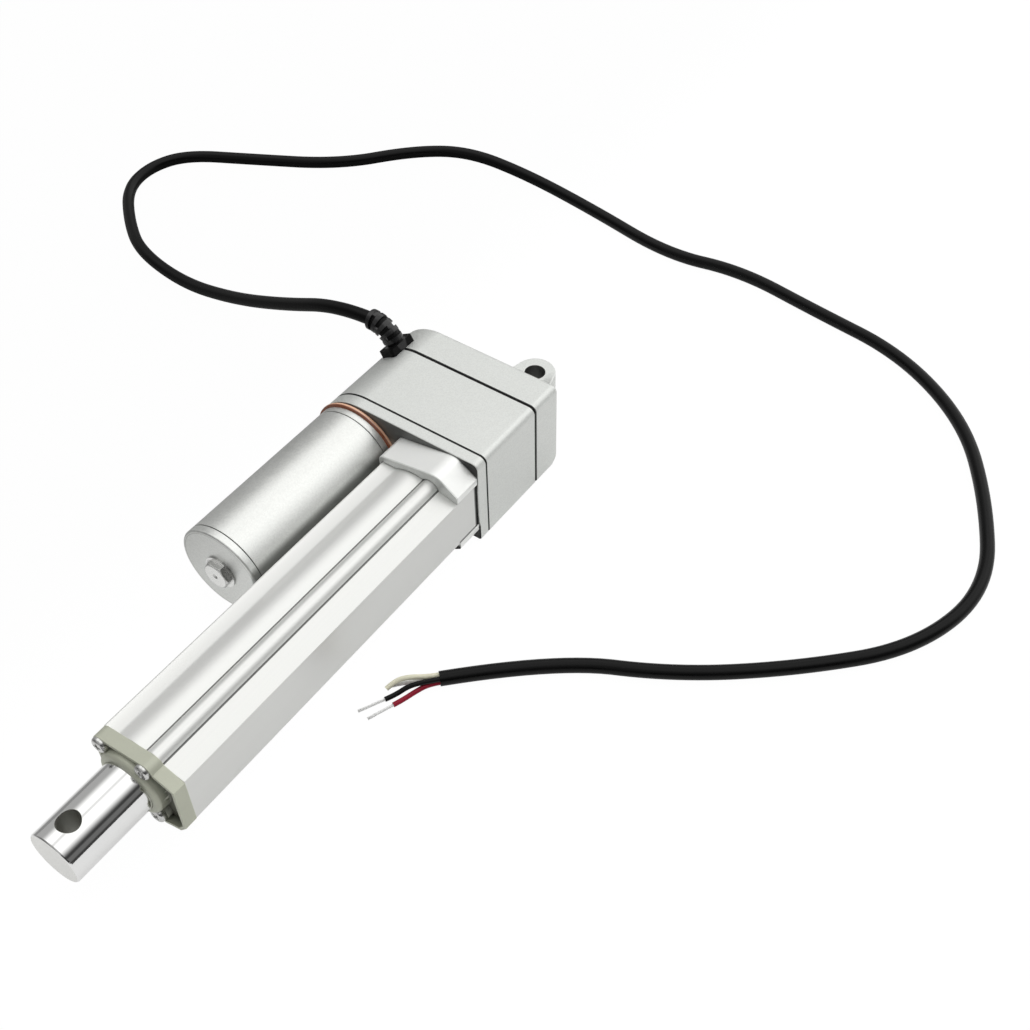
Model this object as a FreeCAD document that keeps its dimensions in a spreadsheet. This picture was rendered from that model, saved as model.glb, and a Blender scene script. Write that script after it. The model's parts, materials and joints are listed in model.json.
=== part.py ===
"""Electric linear actuator: a DC motor, a two stage gear train and a lead screw that pushes a rod.

Millimetres. The origin is the centre of the rear pivot hole, +X runs along the stroke to the rod's
tip, +Y from the motor to the tube, and +Z up. The gearbox lies on its flat underside.
"""
import FreeCAD, Part
import math
import os
import re

import Sketcher
from fcgear import involute
from fcgear.fcgear import FCWireBuilder

DIMENSIONS = [
    # gearbox castings
    ("box_half_height", 19.6, "half the gearbox height, and the radius of its round left side"),
    ("box_right", 19.9, "screw axis to the right side"),
    ("box_round_in", 1.2, "motor axis to the middle of the round left side"),
    ("box_corner", 2.8, "radius of the upper right corner"),
    ("box_low_corner", 0.9, "radius of the lower right corner"),
    ("box_wall", 3.0, "wall of the castings"),
    ("box_inner_corner", 1.2, "radius of the right corners inside"),
    ("rear_face", 13.5, "pivot to the rear face"),
    ("rear_wall", 4.0, "thickness of the rear wall"),
    ("rear_round", 1.2, "fillet round the rear face"),
    ("rear_low_round", 6.0, "round between the rear face and the underside"),
    ("rear_cover_long", 14.15, "length of the rear casting without its ear"),
    ("middle_long", 30.15, "length of the middle casting"),
    ("plate_thick", 4.9, "thickness of the front plate"),
    ("plate_round", 0.6, "fillet round the front face of the plate"),
    ("rear_gasket_thick", 1.0, "rear gasket"),
    ("front_gasket_thick", 0.6, "front gasket"),
    ("gasket_inset", 0.15, "how far a gasket lies inside the castings' skin"),
    # mounting ear
    ("pivot_hole", 4.0, "radius of both pivot holes"),
    ("ear_round", 8.1, "radius of the ear's end"),
    ("ear_thick", 13.0, "ear thickness"),
    ("ear_base", 11.6, "half width of the ear where it meets the rear face"),
    # housing screws
    ("case_screw_in", 6.3, "right screws, centre to the right side and to the top or underside"),
    ("case_screw_left_in", 7.2, "left screws, centre to the furthest point of the left side"),
    ("case_screw_left_up", 6.6, "left screws, height of centre"),
    ("case_screw_shank", 2.0, "shank radius"),
    ("case_screw_head", 3.4, "head radius"),
    ("case_screw_sunk", 3.8, "depth of the counterbore"),
    ("case_screw_below", 1.0, "rear face to the top of the head"),
    ("screw_end_wall", 1.0, "wall in front of the blind holes"),
    ("screw_end_gap", 0.5, "gap in front of the screws in those holes"),
    ("case_boss", 3.8, "radius of the bosses round the screws"),
    ("screw_clearance", 0.1, "radial clearance round every screw"),
    # gear train
    ("pressure_angle", 20.0, "degrees"),
    ("first_module", 0.8, "module of the motor stage"),
    ("second_module", 1.0, "module of the screw stage"),
    ("pinion_teeth", 12, "teeth of both pinions"),
    ("wheel_teeth", 28, "teeth of both wheels"),
    ("pinion_shift", 0.25, "profile shift of the pinions"),
    ("wheel_shift", -0.35, "profile shift of the wheels, which leaves the backlash"),
    ("first_stage_back", 13.6, "front plate to the rear face of the idler's wheel"),
    ("stage_gap", 2.8, "gap between the two wheels"),
    ("second_stage_face", 9.0, "face width of the screw stage"),
    ("first_stage_face", 5.2, "face width of the motor stage"),
    ("gear_overlap", 1.0, "how far a pinion is wider than its wheel at each side"),
    ("idler_pin_radius", 2.5, "idler pin"),
    ("idler_pin_seat", 3.0, "depth of the idler pin in the front plate"),
    ("idler_boss", 5.0, "radius of the boss that holds the idler pin at the rear"),
    ("spacer_radius", 4.0, "outer radius of the idler's spacer"),
    ("fit", 0.02, "radial clearance of pieces fixed together"),
    ("running", 0.05, "radial clearance of pieces that turn or slide"),
    ("end_play", 0.3, "axial clearance beside turning pieces"),
    # screw drive
    ("journal", 4.0, "radius of the lead screw's journals"),
    ("thread_radius", 5.0, "radius of the lead screw's thread"),
    ("screw_collar", 6.0, "radius of the collar against the bearing"),
    ("screw_collar_wide", 2.0, "width of that collar"),
    ("screw_short", 22.2, "end of the lead screw to the front end of the tube"),
    ("bearing_outer", 11.0, "outer radius of the ball bearing"),
    ("bearing_wide", 7.0, "width of the ball bearing"),
    ("bearing_ring", 1.8, "radial thickness of each bearing ring"),
    ("bearing_balls", 7, "number of balls"),
    ("bearing_seat_wall", 1.0, "wall of the seat round the ball bearing"),
    ("hub_radius", 6.0, "hub of the screw's wheel"),
    ("rear_bush_radius", 6.5, "outer radius of the screw's rear bush"),
    ("rear_bush_long", 7.0, "length of the screw's rear bush"),
    ("rear_bush_boss", 9.5, "radius of the boss round that bush"),
    ("clip_radius", 6.2, "retaining clip on the lead screw"),
    ("clip_thick", 1.0, "retaining clip on the lead screw"),
    ("nut_back", 8.0, "rear end of the tube to the nut with the rod drawn in"),
    ("nut_long", 10.0, "length of the nut's head"),
    ("nut_spigot_long", 12.0, "length of the nut's spigot inside the rod"),
    ("nut_play", 0.25, "radial clearance of the nut in the tube"),
    ("lug_half", 1.9, "half width of the nut's lug"),
    # rod
    ("rod_radius", 10.0, "rod"),
    ("rod_bore", 7.0, "bore of the rod"),
    ("rod_solid", 27.4, "solid end of the rod, in front of its bore"),
    ("rod_out", 31.0, "how far the rod stands out of the cap when it is drawn in"),
    ("rod_pivot_in", 8.9, "tip to the cross hole"),
    ("rod_round", 0.8, "fillet round the tip"),
    # tube
    ("seal_thick", 1.7, "seal between front plate and tube"),
    ("seal_inset", 0.4, "how far the seal lies inside the tube's outline"),
    ("tube_spare", 48.2, "length of the tube beyond the stroke"),
    ("bore", 12.0, "bore of the tube"),
    ("barrel", 14.9, "outer radius of the tube's barrel"),
    ("tube_right", 19.5, "flat right side of the tube"),
    ("tube_right_up", 10.4, "half height of that side"),
    ("tube_left", 14.5, "flat left side of the tube"),
    ("tube_left_round", 0.9, "round of its corners"),
    ("strip_up", 12.7, "height of the flat strip at the left"),
    ("strip_fall", 0.1, "fall of the strip from the step to the left side"),
    ("strip_right", 8.3, "screw axis to the step beside the strip"),
    ("step_right", 6.8, "screw axis to the top of that step"),
    ("bead", 3.6, "radius of the screw beads"),
    ("bead_right", 7.6, "screw axis to the middle of the beads"),
    ("bead_up", 12.3, "height of the beads' middle"),
    ("bead_from", 4.6, "screw axis to where barrel and bead meet"),
    ("bead_to", 11.0, "screw axis to where bead and facet meet"),
    ("bead_to_up", 12.55, "height of that line"),
    ("channel_left", 14.2, "left wall of the side channel"),
    ("channel_right", 17.8, "right wall of the side channel"),
    ("channel_up", 8.0, "half height of the side channel"),
    ("slot_half", 2.3, "half width of the slot between bore and channel"),
    ("strip_screw_left", 11.2, "left tube screws, screw axis to centre"),
    ("strip_screw_up", 10.9, "left tube screws, height of centre"),
    ("tube_screw", 1.25, "shank radius of the tube and cap screws"),
    # jaws of the front cover
    ("jaw_long", 12.0, "length of the jaws"),
    ("jaw_left", 15.9, "left side of the jaws"),
    ("jaw_left_foot", 9.0, "height where the left side ends"),
    ("jaw_left_round", 2.4, "round of the left corner"),
    ("jaw_left_up", 15.4, "height of the left end of the top"),
    ("jaw_peak_from", 6.6, "left end of the round at the peak"),
    ("jaw_peak_from_up", 18.9, "height there"),
    ("jaw_peak_to", 12.3, "right end of that round"),
    ("jaw_peak_to_up", 18.3, "height there"),
    ("jaw_peak_round", 5.2, "radius of that round"),
    ("jaw_right_up", 13.4, "height where the slope meets the right side"),
    ("jaw_play", 0.1, "clearance between jaws and tube"),
    # front cap
    ("cap_rim_long", 5.0, "length of the cap's rim"),
    ("cap_boss_out", 2.2, "how far the rod boss stands out of the rim"),
    ("cap_floor", 1.8, "floor of the cap's pockets"),
    ("cap_wall", 1.2, "wall of the rim"),
    ("cap_right", 19.8, "flat right side of the cap"),
    ("cap_right_up", 10.2, "half height of that side"),
    ("cap_slope", 11.7, "top of the slope"),
    ("cap_slope_up", 13.0, "height there"),
    ("cap_peak", 8.2, "right end of the top"),
    ("cap_peak_up", 15.65, "height there"),
    ("cap_peak_round", 3.6, "round between top and slope"),
    ("cap_foot", 16.8, "lower end of the bevel under the right side"),
    ("cap_foot_down", 13.9, "depth there"),
    ("cap_low_slope_down", 15.4, "depth of the lower slope's left end"),
    ("cap_left", 14.6, "flat left side of the cap"),
    ("cap_left_up", 14.1, "height of the left end of the top"),
    ("cap_left_round", 3.6, "round of the left corners"),
    ("cap_boss", 13.0, "radius of the rod boss at its foot"),
    ("cap_boss_tip", 12.7, "radius of the rod boss before its round"),
    ("cap_boss_round", 1.8, "round of the rod boss"),
    ("cap_screw_boss", 3.15, "radius of the screw bosses"),
    ("cap_screw_sunk", 0.9, "rim to the seat of the screw heads"),
    ("cap_screw_head", 2.65, "radius of the screw heads"),
    ("cap_screw_head_long", 1.7, "height of the screw heads"),
    ("cap_screw_dome", 0.6, "round of the screw heads"),
    ("cap_screw_long", 14.0, "length of the shanks"),
    ("wiper_thick", 1.2, "radial thickness of the rod wiper"),
    ("wiper_long", 3.6, "length of the rod wiper"),
    ("wiper_lip", 0.8, "lip of the cap in front of the wiper"),
    ("guide_long", 14.0, "length of the rod's guide bush"),
    # motor
    ("motor_radius", 18.0, "motor"),
    ("motor_ring_long", 2.0, "length of the seal ring"),
    ("motor_ring_over", 1.0, "how far the seal ring stands over the motor"),
    ("motor_ring_round", 0.8, "round of the seal ring's edges"),
    ("bell_step", 1.6, "step from the motor's skin to the spigot inside the ring"),
    ("bell_long", 2.7, "length of the front bell's skin"),
    ("can_long", 68.6, "length of the can"),
    ("end_cap_long", 3.3, "length of the end cap's skin"),
    ("bell_pilot", 7.0, "pilot of the front bell in the front plate"),
    ("can_wall", 1.5, "wall of the can"),
    ("motor_end_round", 0.8, "round of the end face"),
    ("line_deep", 0.25, "depth of the two lines round the motor"),
    ("end_cap_wall", 2.2, "thickness of the end cap's disc"),
    ("plug_flange", 6.6, "radius of the plug's flange"),
    ("plug_flange_thick", 0.7, "thickness of that flange"),
    ("plug_across", 10.0, "plug across its flats"),
    ("plug_long", 3.1, "height of the plug over the end face"),
    ("plug_face", 4.7, "radius of the plug's flat face"),
    ("plug_bevel", 0.7, "height of the bevel round that face"),
    ("plug_dimple", 1.1, "radius and depth of the centre hole in that face"),
    ("plug_stem", 2.5, "radius of the plug's stem in the end cap"),
    ("plug_stem_long", 1.8, "length of that stem"),
    ("shaft_radius", 2.0, "motor shaft"),
    ("shaft_back", 1.0, "end of the motor shaft to the end cap"),
    ("motor_bush", 4.0, "outer radius of the motor's bushes"),
    ("front_bush_long", 6.0, "length of the motor's front bush"),
    ("rear_bush_lap", 2.0, "how far the motor's rear bush holds the shaft"),
    ("magnet_thick", 2.7, "radial thickness of the magnets"),
    ("air_gap", 0.75, "magnets to armature"),
    ("magnet_back", 9.0, "bell to the magnets"),
    ("magnet_over", 5.0, "how far the magnets are longer than the core at each end"),
    ("magnet_angle", 130.0, "angle that a magnet spans"),
    ("core_slots", 5, "slots of the core"),
    ("slot_in", 4.4, "skin of the core to the middle of a slot"),
    ("slot_mouth", 0.9, "half width of a slot's mouth"),
    ("slot_radius", 2.6, "radius of a slot's bottom"),
    ("winding_inner", 4.0, "inner radius of the end turns"),
    ("winding_in", 1.0, "skin of the core to the end turns"),
    ("winding_gap", 3.5, "end turns to the commutator"),
    ("winding_long", 5.5, "length of the end turns"),
    ("winding_round", 2.0, "round of the end turns"),
    ("commutator_radius", 5.0, "commutator"),
    ("commutator_long", 8.5, "length of the commutator"),
    ("commutator_back", 2.1, "commutator to the end of the shaft"),
    ("holder_long", 6.6, "length of the brush holder and the gap in front of it"),
    ("holder_wall", 5.45, "radial thickness of the brush holder"),
    ("brush_thick", 3.0, "thickness of a brush along the shaft"),
    ("brush_ahead", 0.5, "how far a brush stands behind the holder"),
    ("brush_wide", 4.0, "width of a brush"),
    ("brush_play", 0.1, "clearance between brush and commutator"),
    ("motor_screw", 1.5, "shank radius of those screws"),
    ("small_head", 2.4, "head radius of the tube and motor screws"),
    ("small_head_long", 2.6, "head height of the tube and motor screws"),
    ("motor_screw_in", 3.9, "spigot of the bell to the middle of the motor screws"),
    ("motor_screw_bite", 2.5, "how far the motor screws reach into the bell"),
    ("motor_screw_spare", 0.2, "gap in front of the motor screws"),
    ("tube_screw_bite", 12.0, "how far the tube screws reach into the tube"),
    # limit switches
    ("board_thick", 1.0, "circuit board"),
    ("board_half", 7.0, "half width of the board"),
    ("board_back", 4.0, "rear end of the tube to the board"),
    ("board_short", 18.2, "board to the front end of the tube"),
    ("board_play", 0.2, "clearance of the board in its channel"),
    ("stroke", 100.0, "travel of the rod, and the distance between the switches"),
    ("switch_long", 6.4, "length of a switch"),
    ("switch_half", 2.6, "half width of a switch"),
    ("switch_thick", 1.8, "thickness of a switch"),
    # strain relief, cable and wires
    ("relief_lift", 60.0, "degrees from level of the relief's foot on the round left side"),
    ("relief_foot_long", 12.6, "length of the foot along the gearbox"),
    ("relief_foot_wide", 7.4, "width of the foot"),
    ("relief_foot_round", 1.0, "round of the foot's corners"),
    ("relief_foot_thick", 2.7, "thickness of the foot over the casting"),
    ("relief_start", 4.0, "height over the casting where the relief begins to bend"),
    ("relief_neck", 3.2, "radius of the neck in the wall"),
    ("relief_core", 3.2, "radius of the relief between its ribs"),
    ("relief_rib", 4.15, "radius of the ribs"),
    ("relief_ribs", 5, "number of ribs"),
    ("relief_rib_angle", 7.0, "degrees that a rib spans"),
    ("relief_bend", 11.0, "radius of the relief's bend"),
    ("relief_turn", 63.0, "degrees that the relief bends through"),
    ("relief_seat", 0.05, "clearance under the foot"),
    ("cable_radius", 2.7, "cable"),
    ("cable_straight", 17.0, "straight way of the cable out of the relief"),
    ("wire_radius", 0.9, "insulated wire"),
    ("wire_spread", 1.32, "cable axis to a wire's axis at the cable's end"),
    ("wire_straight", 4.0, "straight way of a wire out of the cable"),
    ("tip_radius", 0.5, "tinned end of a wire"),
    ("tip_long", 10.0, "length of the tinned end"),
    ("cutter_over", 1.0, "how far a cutter reaches past what it cuts"),
]

# What follows from the dimensions: stations along X from the pivot, and sizes that fit other pieces.
DERIVED = [
    ("idler_offset", "(pinion_teeth + wheel_teeth) * second_module / 2", "screw axis to idler axis"),
    ("motor_offset", "idler_offset + (pinion_teeth + wheel_teeth) * first_module / 2",
     "screw axis to motor axis"),
    ("box_left", "motor_offset - box_round_in + box_half_height", "screw axis to the end of the left side"),
    ("rear_seam", "rear_face + rear_cover_long + rear_gasket_thick / 2", "middle of the rear gasket"),
    ("front_seam", "rear_seam + (rear_gasket_thick + front_gasket_thick) / 2 + middle_long",
     "middle of the front gasket"),
    ("plate_rear", "front_seam + front_gasket_thick / 2", "rear face of the front plate"),
    ("plate_front", "plate_rear + plate_thick", "front face of the front plate"),
    ("case_screw_right", "box_right - case_screw_in", "right housing screws, screw axis to centre"),
    ("case_screw_right_up", "box_half_height - case_screw_in", "right housing screws, height of centre"),
    ("case_screw_left", "box_left - case_screw_left_in", "left housing screws, screw axis to centre"),
    ("first_stage_start", "plate_rear - first_stage_back", "rear face of the idler's wheel"),
    ("second_stage_start", "first_stage_start - stage_gap - second_stage_face",
     "rear face of the screw's wheel"),
    ("tube_rear", "plate_front + seal_thick", "rear end of the tube"),
    ("tube_front", "tube_rear + stroke + tube_spare", "front end of the tube"),
    ("jaw_front", "plate_front + jaw_long", "front end of the jaws"),
    ("cap_rim", "tube_front + cap_rim_long", "front of the cap's rim"),
    ("cap_boss_front", "cap_rim + cap_boss_out", "front of the rod boss"),
    ("cap_screw_seat", "cap_rim - cap_screw_sunk", "seat of the cap's screw heads"),
    ("screw_front", "tube_front - screw_short", "front end of the lead screw"),
    ("nut_rear", "tube_rear + nut_back", "rear face of the nut with the rod drawn in"),
    ("rod_tip", "cap_boss_front + rod_out", "rod tip with the rod drawn in"),
    ("rod_bore_end", "rod_tip - rod_solid", "where the rod's bore ends"),
    ("rod_pivot", "rod_tip - rod_pivot_in", "cross hole with the rod drawn in"),
    ("motor_ring_front", "plate_front + motor_ring_long", "front of the motor's seal ring"),
    ("motor_ring_radius", "motor_radius + motor_ring_over", "seal ring"),
    ("bell_spigot", "motor_radius - bell_step", "spigot of the front bell inside the ring"),
    ("bell_front", "motor_ring_front + bell_long", "line between front bell and can"),
    ("can_front", "bell_front + can_long", "line between can and end cap"),
    ("motor_end", "can_front + end_cap_long", "end face of the motor"),
    ("motor_screw_up", "bell_spigot - motor_screw_in", "motor axis to the screws that hold the motor"),
    ("shaft_front", "can_front - shaft_back", "end of the motor shaft"),
    ("commutator_end", "shaft_front - commutator_back", "front end of the commutator"),
    ("commutator_start", "commutator_end - commutator_long", "rear end of the commutator"),
    ("core_radius", "motor_radius - can_wall - running - magnet_thick - air_gap", "armature core"),
    ("magnet_start", "bell_front + magnet_back", "rear end of the magnets"),
    ("core_start", "magnet_start + magnet_over", "rear end of the core"),
    ("core_end", "commutator_start - winding_gap - winding_long", "front end of the core"),
    ("magnet_end", "core_end + magnet_over", "front end of the magnets"),
    ("slot_at", "core_radius - slot_in", "motor axis to the middle of a slot"),
    ("winding_outer", "core_radius - winding_in", "outer radius of the end turns"),
    ("holder_start", "can_front - holder_long", "rear face of the brush holder"),
    ("holder_bore", "motor_radius - can_wall - running - holder_wall", "bore of the brush holder"),
    ("board_start", "tube_rear + board_back", "rear end of the circuit board"),
    ("board_end", "tube_front - board_short", "front end of the circuit board"),
    ("switch_rear", "nut_rear + nut_long / 2", "middle of the rear switch"),
]
NAMES = {row[0] for row in DIMENSIONS + DERIVED}
TWO_SIDES = (1, -1)

# The cable lies on what the gearbox lies on. Each point is x, y and its lift over that level.
CABLE_ROUTE = [
    (26.5, -106.0, 26.0),
    (23.0, -140.0, 11.0),
    (19.0, -176.0, 0.5),
    (13.0, -209.0, 0.0),
    (0.0, -229.0, 0.0),
    (-18.0, -248.5, 0.0),
    (-37.0, -252.5, 0.0),
    (-54.5, -244.5, 0.0),
    (-69.0, -217.0, 0.0),
    (-90.0, -178.0, 0.0),
    (-119.0, -155.0, 0.0),
    (-134.0, -132.0, 0.0),
    (-134.0, -97.0, 0.0),
    (-128.0, -55.0, 0.0),
    (-119.0, -10.0, 0.0),
    (-127.0, 23.0, 0.0),
    (-121.0, 63.0, 0.0),
    (-116.0, 105.0, 0.0),
    (-93.0, 143.0, 0.0),
    (-58.0, 167.0, 0.0),
    (-18.0, 185.0, 0.0),
    (21.0, 175.0, 0.0),
    (52.0, 145.0, 0.0),
    (78.0, 112.0, 0.0),
    (96.0, 75.0, 0.0),
    (125.0, 46.8, 0.0),
]

# Each wire's points, as the way from the end of the cable and the lift over its lowest place.
WIRE_ROUTES = {
    "yellow": [(6.5, -8.7, 3.4), (10.1, -11.6, 2.8), (13.6, -12.5, 1.6)],
    "black": [(8.4, -6.6, 2.2), (13.0, -9.0, 0.3), (16.6, -10.8, 0.3)],
    "red": [(8.3, -4.5, 0.0), (13.0, -5.8, 0.0), (16.6, -7.2, 0.0)],
    "white": [(5.3, -7.6, 0.0), (8.2, -11.0, 0.0), (11.0, -13.2, 0.0)],
}
BARE_WIRES = ("black", "red")
WIRE_QUARTERS = {"yellow": 135.0, "black": 45.0, "red": -45.0, "white": -135.0}

doc = FreeCAD.newDocument("linear_actuator")
sheet = doc.addObject("Spreadsheet::Sheet", "Dims")
nodes = {}


def fill_sheet():
    """Every dimension in the sheet with its meaning beside it, then what is derived from them."""
    for row, (alias, content, meaning) in enumerate(DIMENSIONS + DERIVED, start=1):
        sheet.set(f"A{row}", meaning)
        sheet.set(f"B{row}", f"={content}" if isinstance(content, str) else str(content))
        sheet.setAlias(f"B{row}", alias)
    doc.recompute()


def bound(expression):
    """The expression with each named dimension pointed at the sheet."""
    return re.sub(r"[a-z_]\w*", lambda word: f"Dims.{word[0]}" if word[0] in NAMES else word[0],
                  str(expression))


def size(expression):
    """What the expression comes to, in millimetres or degrees."""
    found = sheet.evalExpression(bound(expression))
    return float(getattr(found, "Value", found))


def vector(x, y, z):
    return FreeCAD.Vector(x, y, z)


def new_body(label, across=None, up=None, along=None):
    """A body whose own axis lies at these coordinates."""
    body = doc.addObject("PartDesign::Body", f"{label}_body")
    body.Label = label
    for axis, expression in (("x", along), ("y", across), ("z", up)):
        if expression is not None:
            body.setExpression(f"Placement.Base.{axis}", bound(expression))
    return body


def new_sketch(body, role, offset=None):
    """A sketch on one of the body's own planes, moved along the plane's normal."""
    plane = next(f for f in body.Origin.OriginFeatures if f.Role == role)
    sketch = body.newObject("Sketcher::SketchObject", f"{body.Name}_sketch")
    sketch.AttachmentSupport = [(plane, "")]
    sketch.MapMode = "FlatFace"
    if offset is not None:
        sketch.setExpression("AttachmentOffset.Base.z", bound(offset))
    return sketch


def pin_point(sketch, geometry, end, u, v):
    """Hold a point of the sketch at coordinates that follow the sheet."""
    for kind, expression in (("DistanceX", u), ("DistanceY", v)):
        held = Sketcher.Constraint(kind, -1, 1, geometry, end, size(expression))
        index = sketch.addConstraint(held)
        sketch.setExpression(f"Constraints[{index}]", bound(expression))


def pin_radius(sketch, geometry, radius):
    index = sketch.addConstraint(Sketcher.Constraint("Radius", geometry, size(radius)))
    sketch.setExpression(f"Constraints[{index}]", bound(radius))


def arc_between(start, end, radius, side):
    """The shorter arc from start to end with its centre on the left or the right of the way."""
    half = (end - start) / 2
    reach = math.sqrt(max(radius ** 2 - half.Length ** 2, 0))
    left = vector(-half.y, half.x, 0).normalize()
    centre = start + half + left * (reach if side == "left" else -reach)
    first, last = (start, end) if side == "left" else (end, start)
    from_angle = math.atan2(first.y - centre.y, first.x - centre.x)
    to_angle = math.atan2(last.y - centre.y, last.x - centre.x)
    if to_angle < from_angle:
        to_angle += 2 * math.pi
    return Part.ArcOfCircle(Part.Circle(centre, vector(0, 0, 1), radius), from_angle, to_angle)


def draw(sketch, corners):
    """A closed outline. A corner is (u, v), or (u, v, radius, side) where an arc leaves it."""
    places = [vector(size(corner[0]), size(corner[1]), 0) for corner in corners]
    following = places[1:] + places[:1]
    ends = []
    for corner, start, end in zip(corners, places, following):
        if len(corner) == 2:
            index = sketch.addGeometry(Part.LineSegment(start, end), False)
            ends.append((index, 1, 2))
        else:
            radius, side = corner[2:]
            index = sketch.addGeometry(arc_between(start, end, size(radius), side), False)
            ends.append((index, 1, 2) if side == "left" else (index, 2, 1))
    for corner, here, before in zip(corners, ends, ends[-1:] + ends[:-1]):
        sketch.addConstraint(Sketcher.Constraint("Coincident", before[0], before[2], here[0], here[1]))
        pin_point(sketch, here[0], here[1], corner[0], corner[1])
        if len(corner) == 4:
            pin_radius(sketch, here[0], corner[2])


def draw_circles(sketch, centres, radius):
    for u, v in centres:
        circle = Part.Circle(vector(size(u), size(v), 0), vector(0, 0, 1), size(radius))
        index = sketch.addGeometry(circle, False)
        pin_point(sketch, index, 3, u, v)
        pin_radius(sketch, index, radius)


def pad(body, start, end, corners=None, centres=(), radius=None):
    """Material from one station along X to another, over an outline or over circles."""
    sketch = new_sketch(body, "YZ_Plane", start)
    if corners:
        draw(sketch, corners)
    if centres:
        draw_circles(sketch, centres, radius)
    feature = body.newObject("PartDesign::Pad", f"{body.Name}_pad")
    feature.Profile = sketch
    feature.setExpression("Length", bound(f"({end}) - ({start})"))
    return feature


def pocket(body, start, end, corners=None, centres=(), radius=None):
    """A cut from one station along X to another, made from its far end backwards."""
    sketch = new_sketch(body, "YZ_Plane", end)
    if corners:
        draw(sketch, corners)
    if centres:
        draw_circles(sketch, centres, radius)
    feature = body.newObject("PartDesign::Pocket", f"{body.Name}_pocket")
    feature.Profile = sketch
    feature.setExpression("Length", bound(f"({end}) - ({start})"))
    return feature


def revolve(body, corners, angle="360", cut=False):
    """An outline of stations and radii turned about the body's X axis."""
    sketch = new_sketch(body, "XY_Plane")
    draw(sketch, corners)
    kind = "Groove" if cut else "Revolution"
    feature = body.newObject(f"PartDesign::{kind}", f"{body.Name}_{kind.lower()}")
    feature.Profile = sketch
    feature.ReferenceAxis = (sketch, ["H_Axis"])
    feature.setExpression("Angle", bound(angle))
    return feature


def turned(label, corners, across=None, up=None, along=None, angle="360"):
    """A turned piece on an axis parallel to X."""
    body = new_body(label, across, up, along)
    revolve(body, corners, angle)
    return body


def ring(start, end, inner, outer):
    """The outline of a plain ring, or of a disc where the inner radius is 0."""
    return [(start, inner), (end, inner), (end, outer), (start, outer)]


def round_edges(body, feature, radius, test):
    """Fillet the edges of the feature whose points all pass the test."""
    doc.recompute()
    names = [f"Edge{n}" for n, edge in enumerate(feature.Shape.Edges, start=1)
             if all(test(edge.valueAt(place)) for place in edge_stations(edge))]
    fillet = body.newObject("PartDesign::Fillet", f"{body.Name}_fillet")
    fillet.Base = (feature, names)
    fillet.setExpression("Radius", bound(radius))
    body.Tip = fillet
    return fillet


def edge_stations(edge):
    first, last = edge.ParameterRange
    return (first, (first + last) / 2, last)


def at_station(expression):
    """A test for points that lie at one station along X."""
    station = size(expression)
    return lambda point: abs(point.x - station) < 0.001


def keep(label, piece):
    """Name the piece as one of the actuator's nodes."""
    piece.Label = label
    nodes[label] = piece
    return piece


def group(label, pieces):
    """Several separate solids that share one node."""
    compound = doc.addObject("Part::Compound", label)
    compound.Links = pieces
    return keep(label, compound)


def cut_away(label, piece, tool):
    cut = doc.addObject("Part::Cut", label)
    cut.Base = piece
    cut.Tool = tool
    return keep(label, cut)


def mirrored(corners):
    """The upper half of an outline, from right to left, and its mirror image below."""
    lower = []
    for number in range(len(corners) - 1, -1, -1):
        u, v = corners[number][:2]
        before = corners[number - 1] if number else ()
        arc = before[2:] if len(before) == 4 else ()
        lower.append((u, f"-({v})") + tuple(arc))
    return list(corners) + lower


def box_outline(inset="0", corner="box_corner", low_corner="box_low_corner"):
    """The gearbox's outline: two rounded corners at the right and a full round at the left."""
    up = f"(box_half_height - {inset})"
    right = f"(box_right - {inset})"
    middle = "-(box_left - box_half_height)"
    return [
        (middle, f"-{up}"),
        (f"{right} - {low_corner}", f"-{up}", low_corner, "left"),
        (right, f"-{up} + {low_corner}"),
        (right, f"{up} - {corner}", corner, "left"),
        (f"{right} - {corner}", up),
        (middle, up, up, "left"),
        (f"-(box_left - {inset})", "0", up, "left"),
    ]


def cavity_outline():
    return box_outline("box_wall", "box_inner_corner", "box_inner_corner")


def tube_outline(grow):
    """The tube's section, with every face moved outwards."""
    upper = [
        (f"tube_right + {grow}", f"tube_right_up + {grow}"),
        (f"bead_to + {grow} / 2", f"bead_to_up + {grow}", f"bead + {grow}", "left"),
        (f"bead_from - {grow} / 2", f"sqrt((barrel + {grow})^2 - (bead_from - {grow} / 2)^2)",
         f"barrel + {grow}", "left"),
        (f"-step_right - {grow}", f"sqrt((barrel + {grow})^2 - (step_right + {grow})^2)"),
        (f"-strip_right - {grow}", f"strip_up + {grow} + strip_fall"),
        (f"-tube_left - {grow} + tube_left_round", f"strip_up + {grow}", "tube_left_round", "left"),
        (f"-tube_left - {grow}", f"strip_up + {grow} - tube_left_round"),
    ]
    return mirrored(upper)


def case_screw_places():
    return [(f"{side}", f"{sign} * {up}")
            for side, up in (("case_screw_right", "case_screw_right_up"),
                             ("-case_screw_left", "case_screw_left_up"))
            for sign in TWO_SIDES]


def tube_screw_places():
    return [(f"{side}", f"{sign} * {up}")
            for side, up in (("bead_right", "bead_up"), ("-strip_screw_left", "strip_screw_up"))
            for sign in TWO_SIDES]


def motor_screw_places():
    return [("-motor_offset", f"{sign} * motor_screw_up") for sign in TWO_SIDES]


BEHIND_REAR_GASKET = "rear_seam - rear_gasket_thick / 2"
BEFORE_REAR_GASKET = "rear_seam + rear_gasket_thick / 2"
BEHIND_FRONT_GASKET = "front_seam - front_gasket_thick / 2"
CAVITY_REAR = "rear_face + rear_wall"
BEARING_REAR = "plate_rear - bearing_wide"
RELIEF_FOOT = ("rear_seam", "-(box_left - box_half_height) - box_half_height * cos(relief_lift)",
               "box_half_height * sin(relief_lift)")
SMALL_SCREW_SEAT = "plate_rear + small_head_long"


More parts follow.
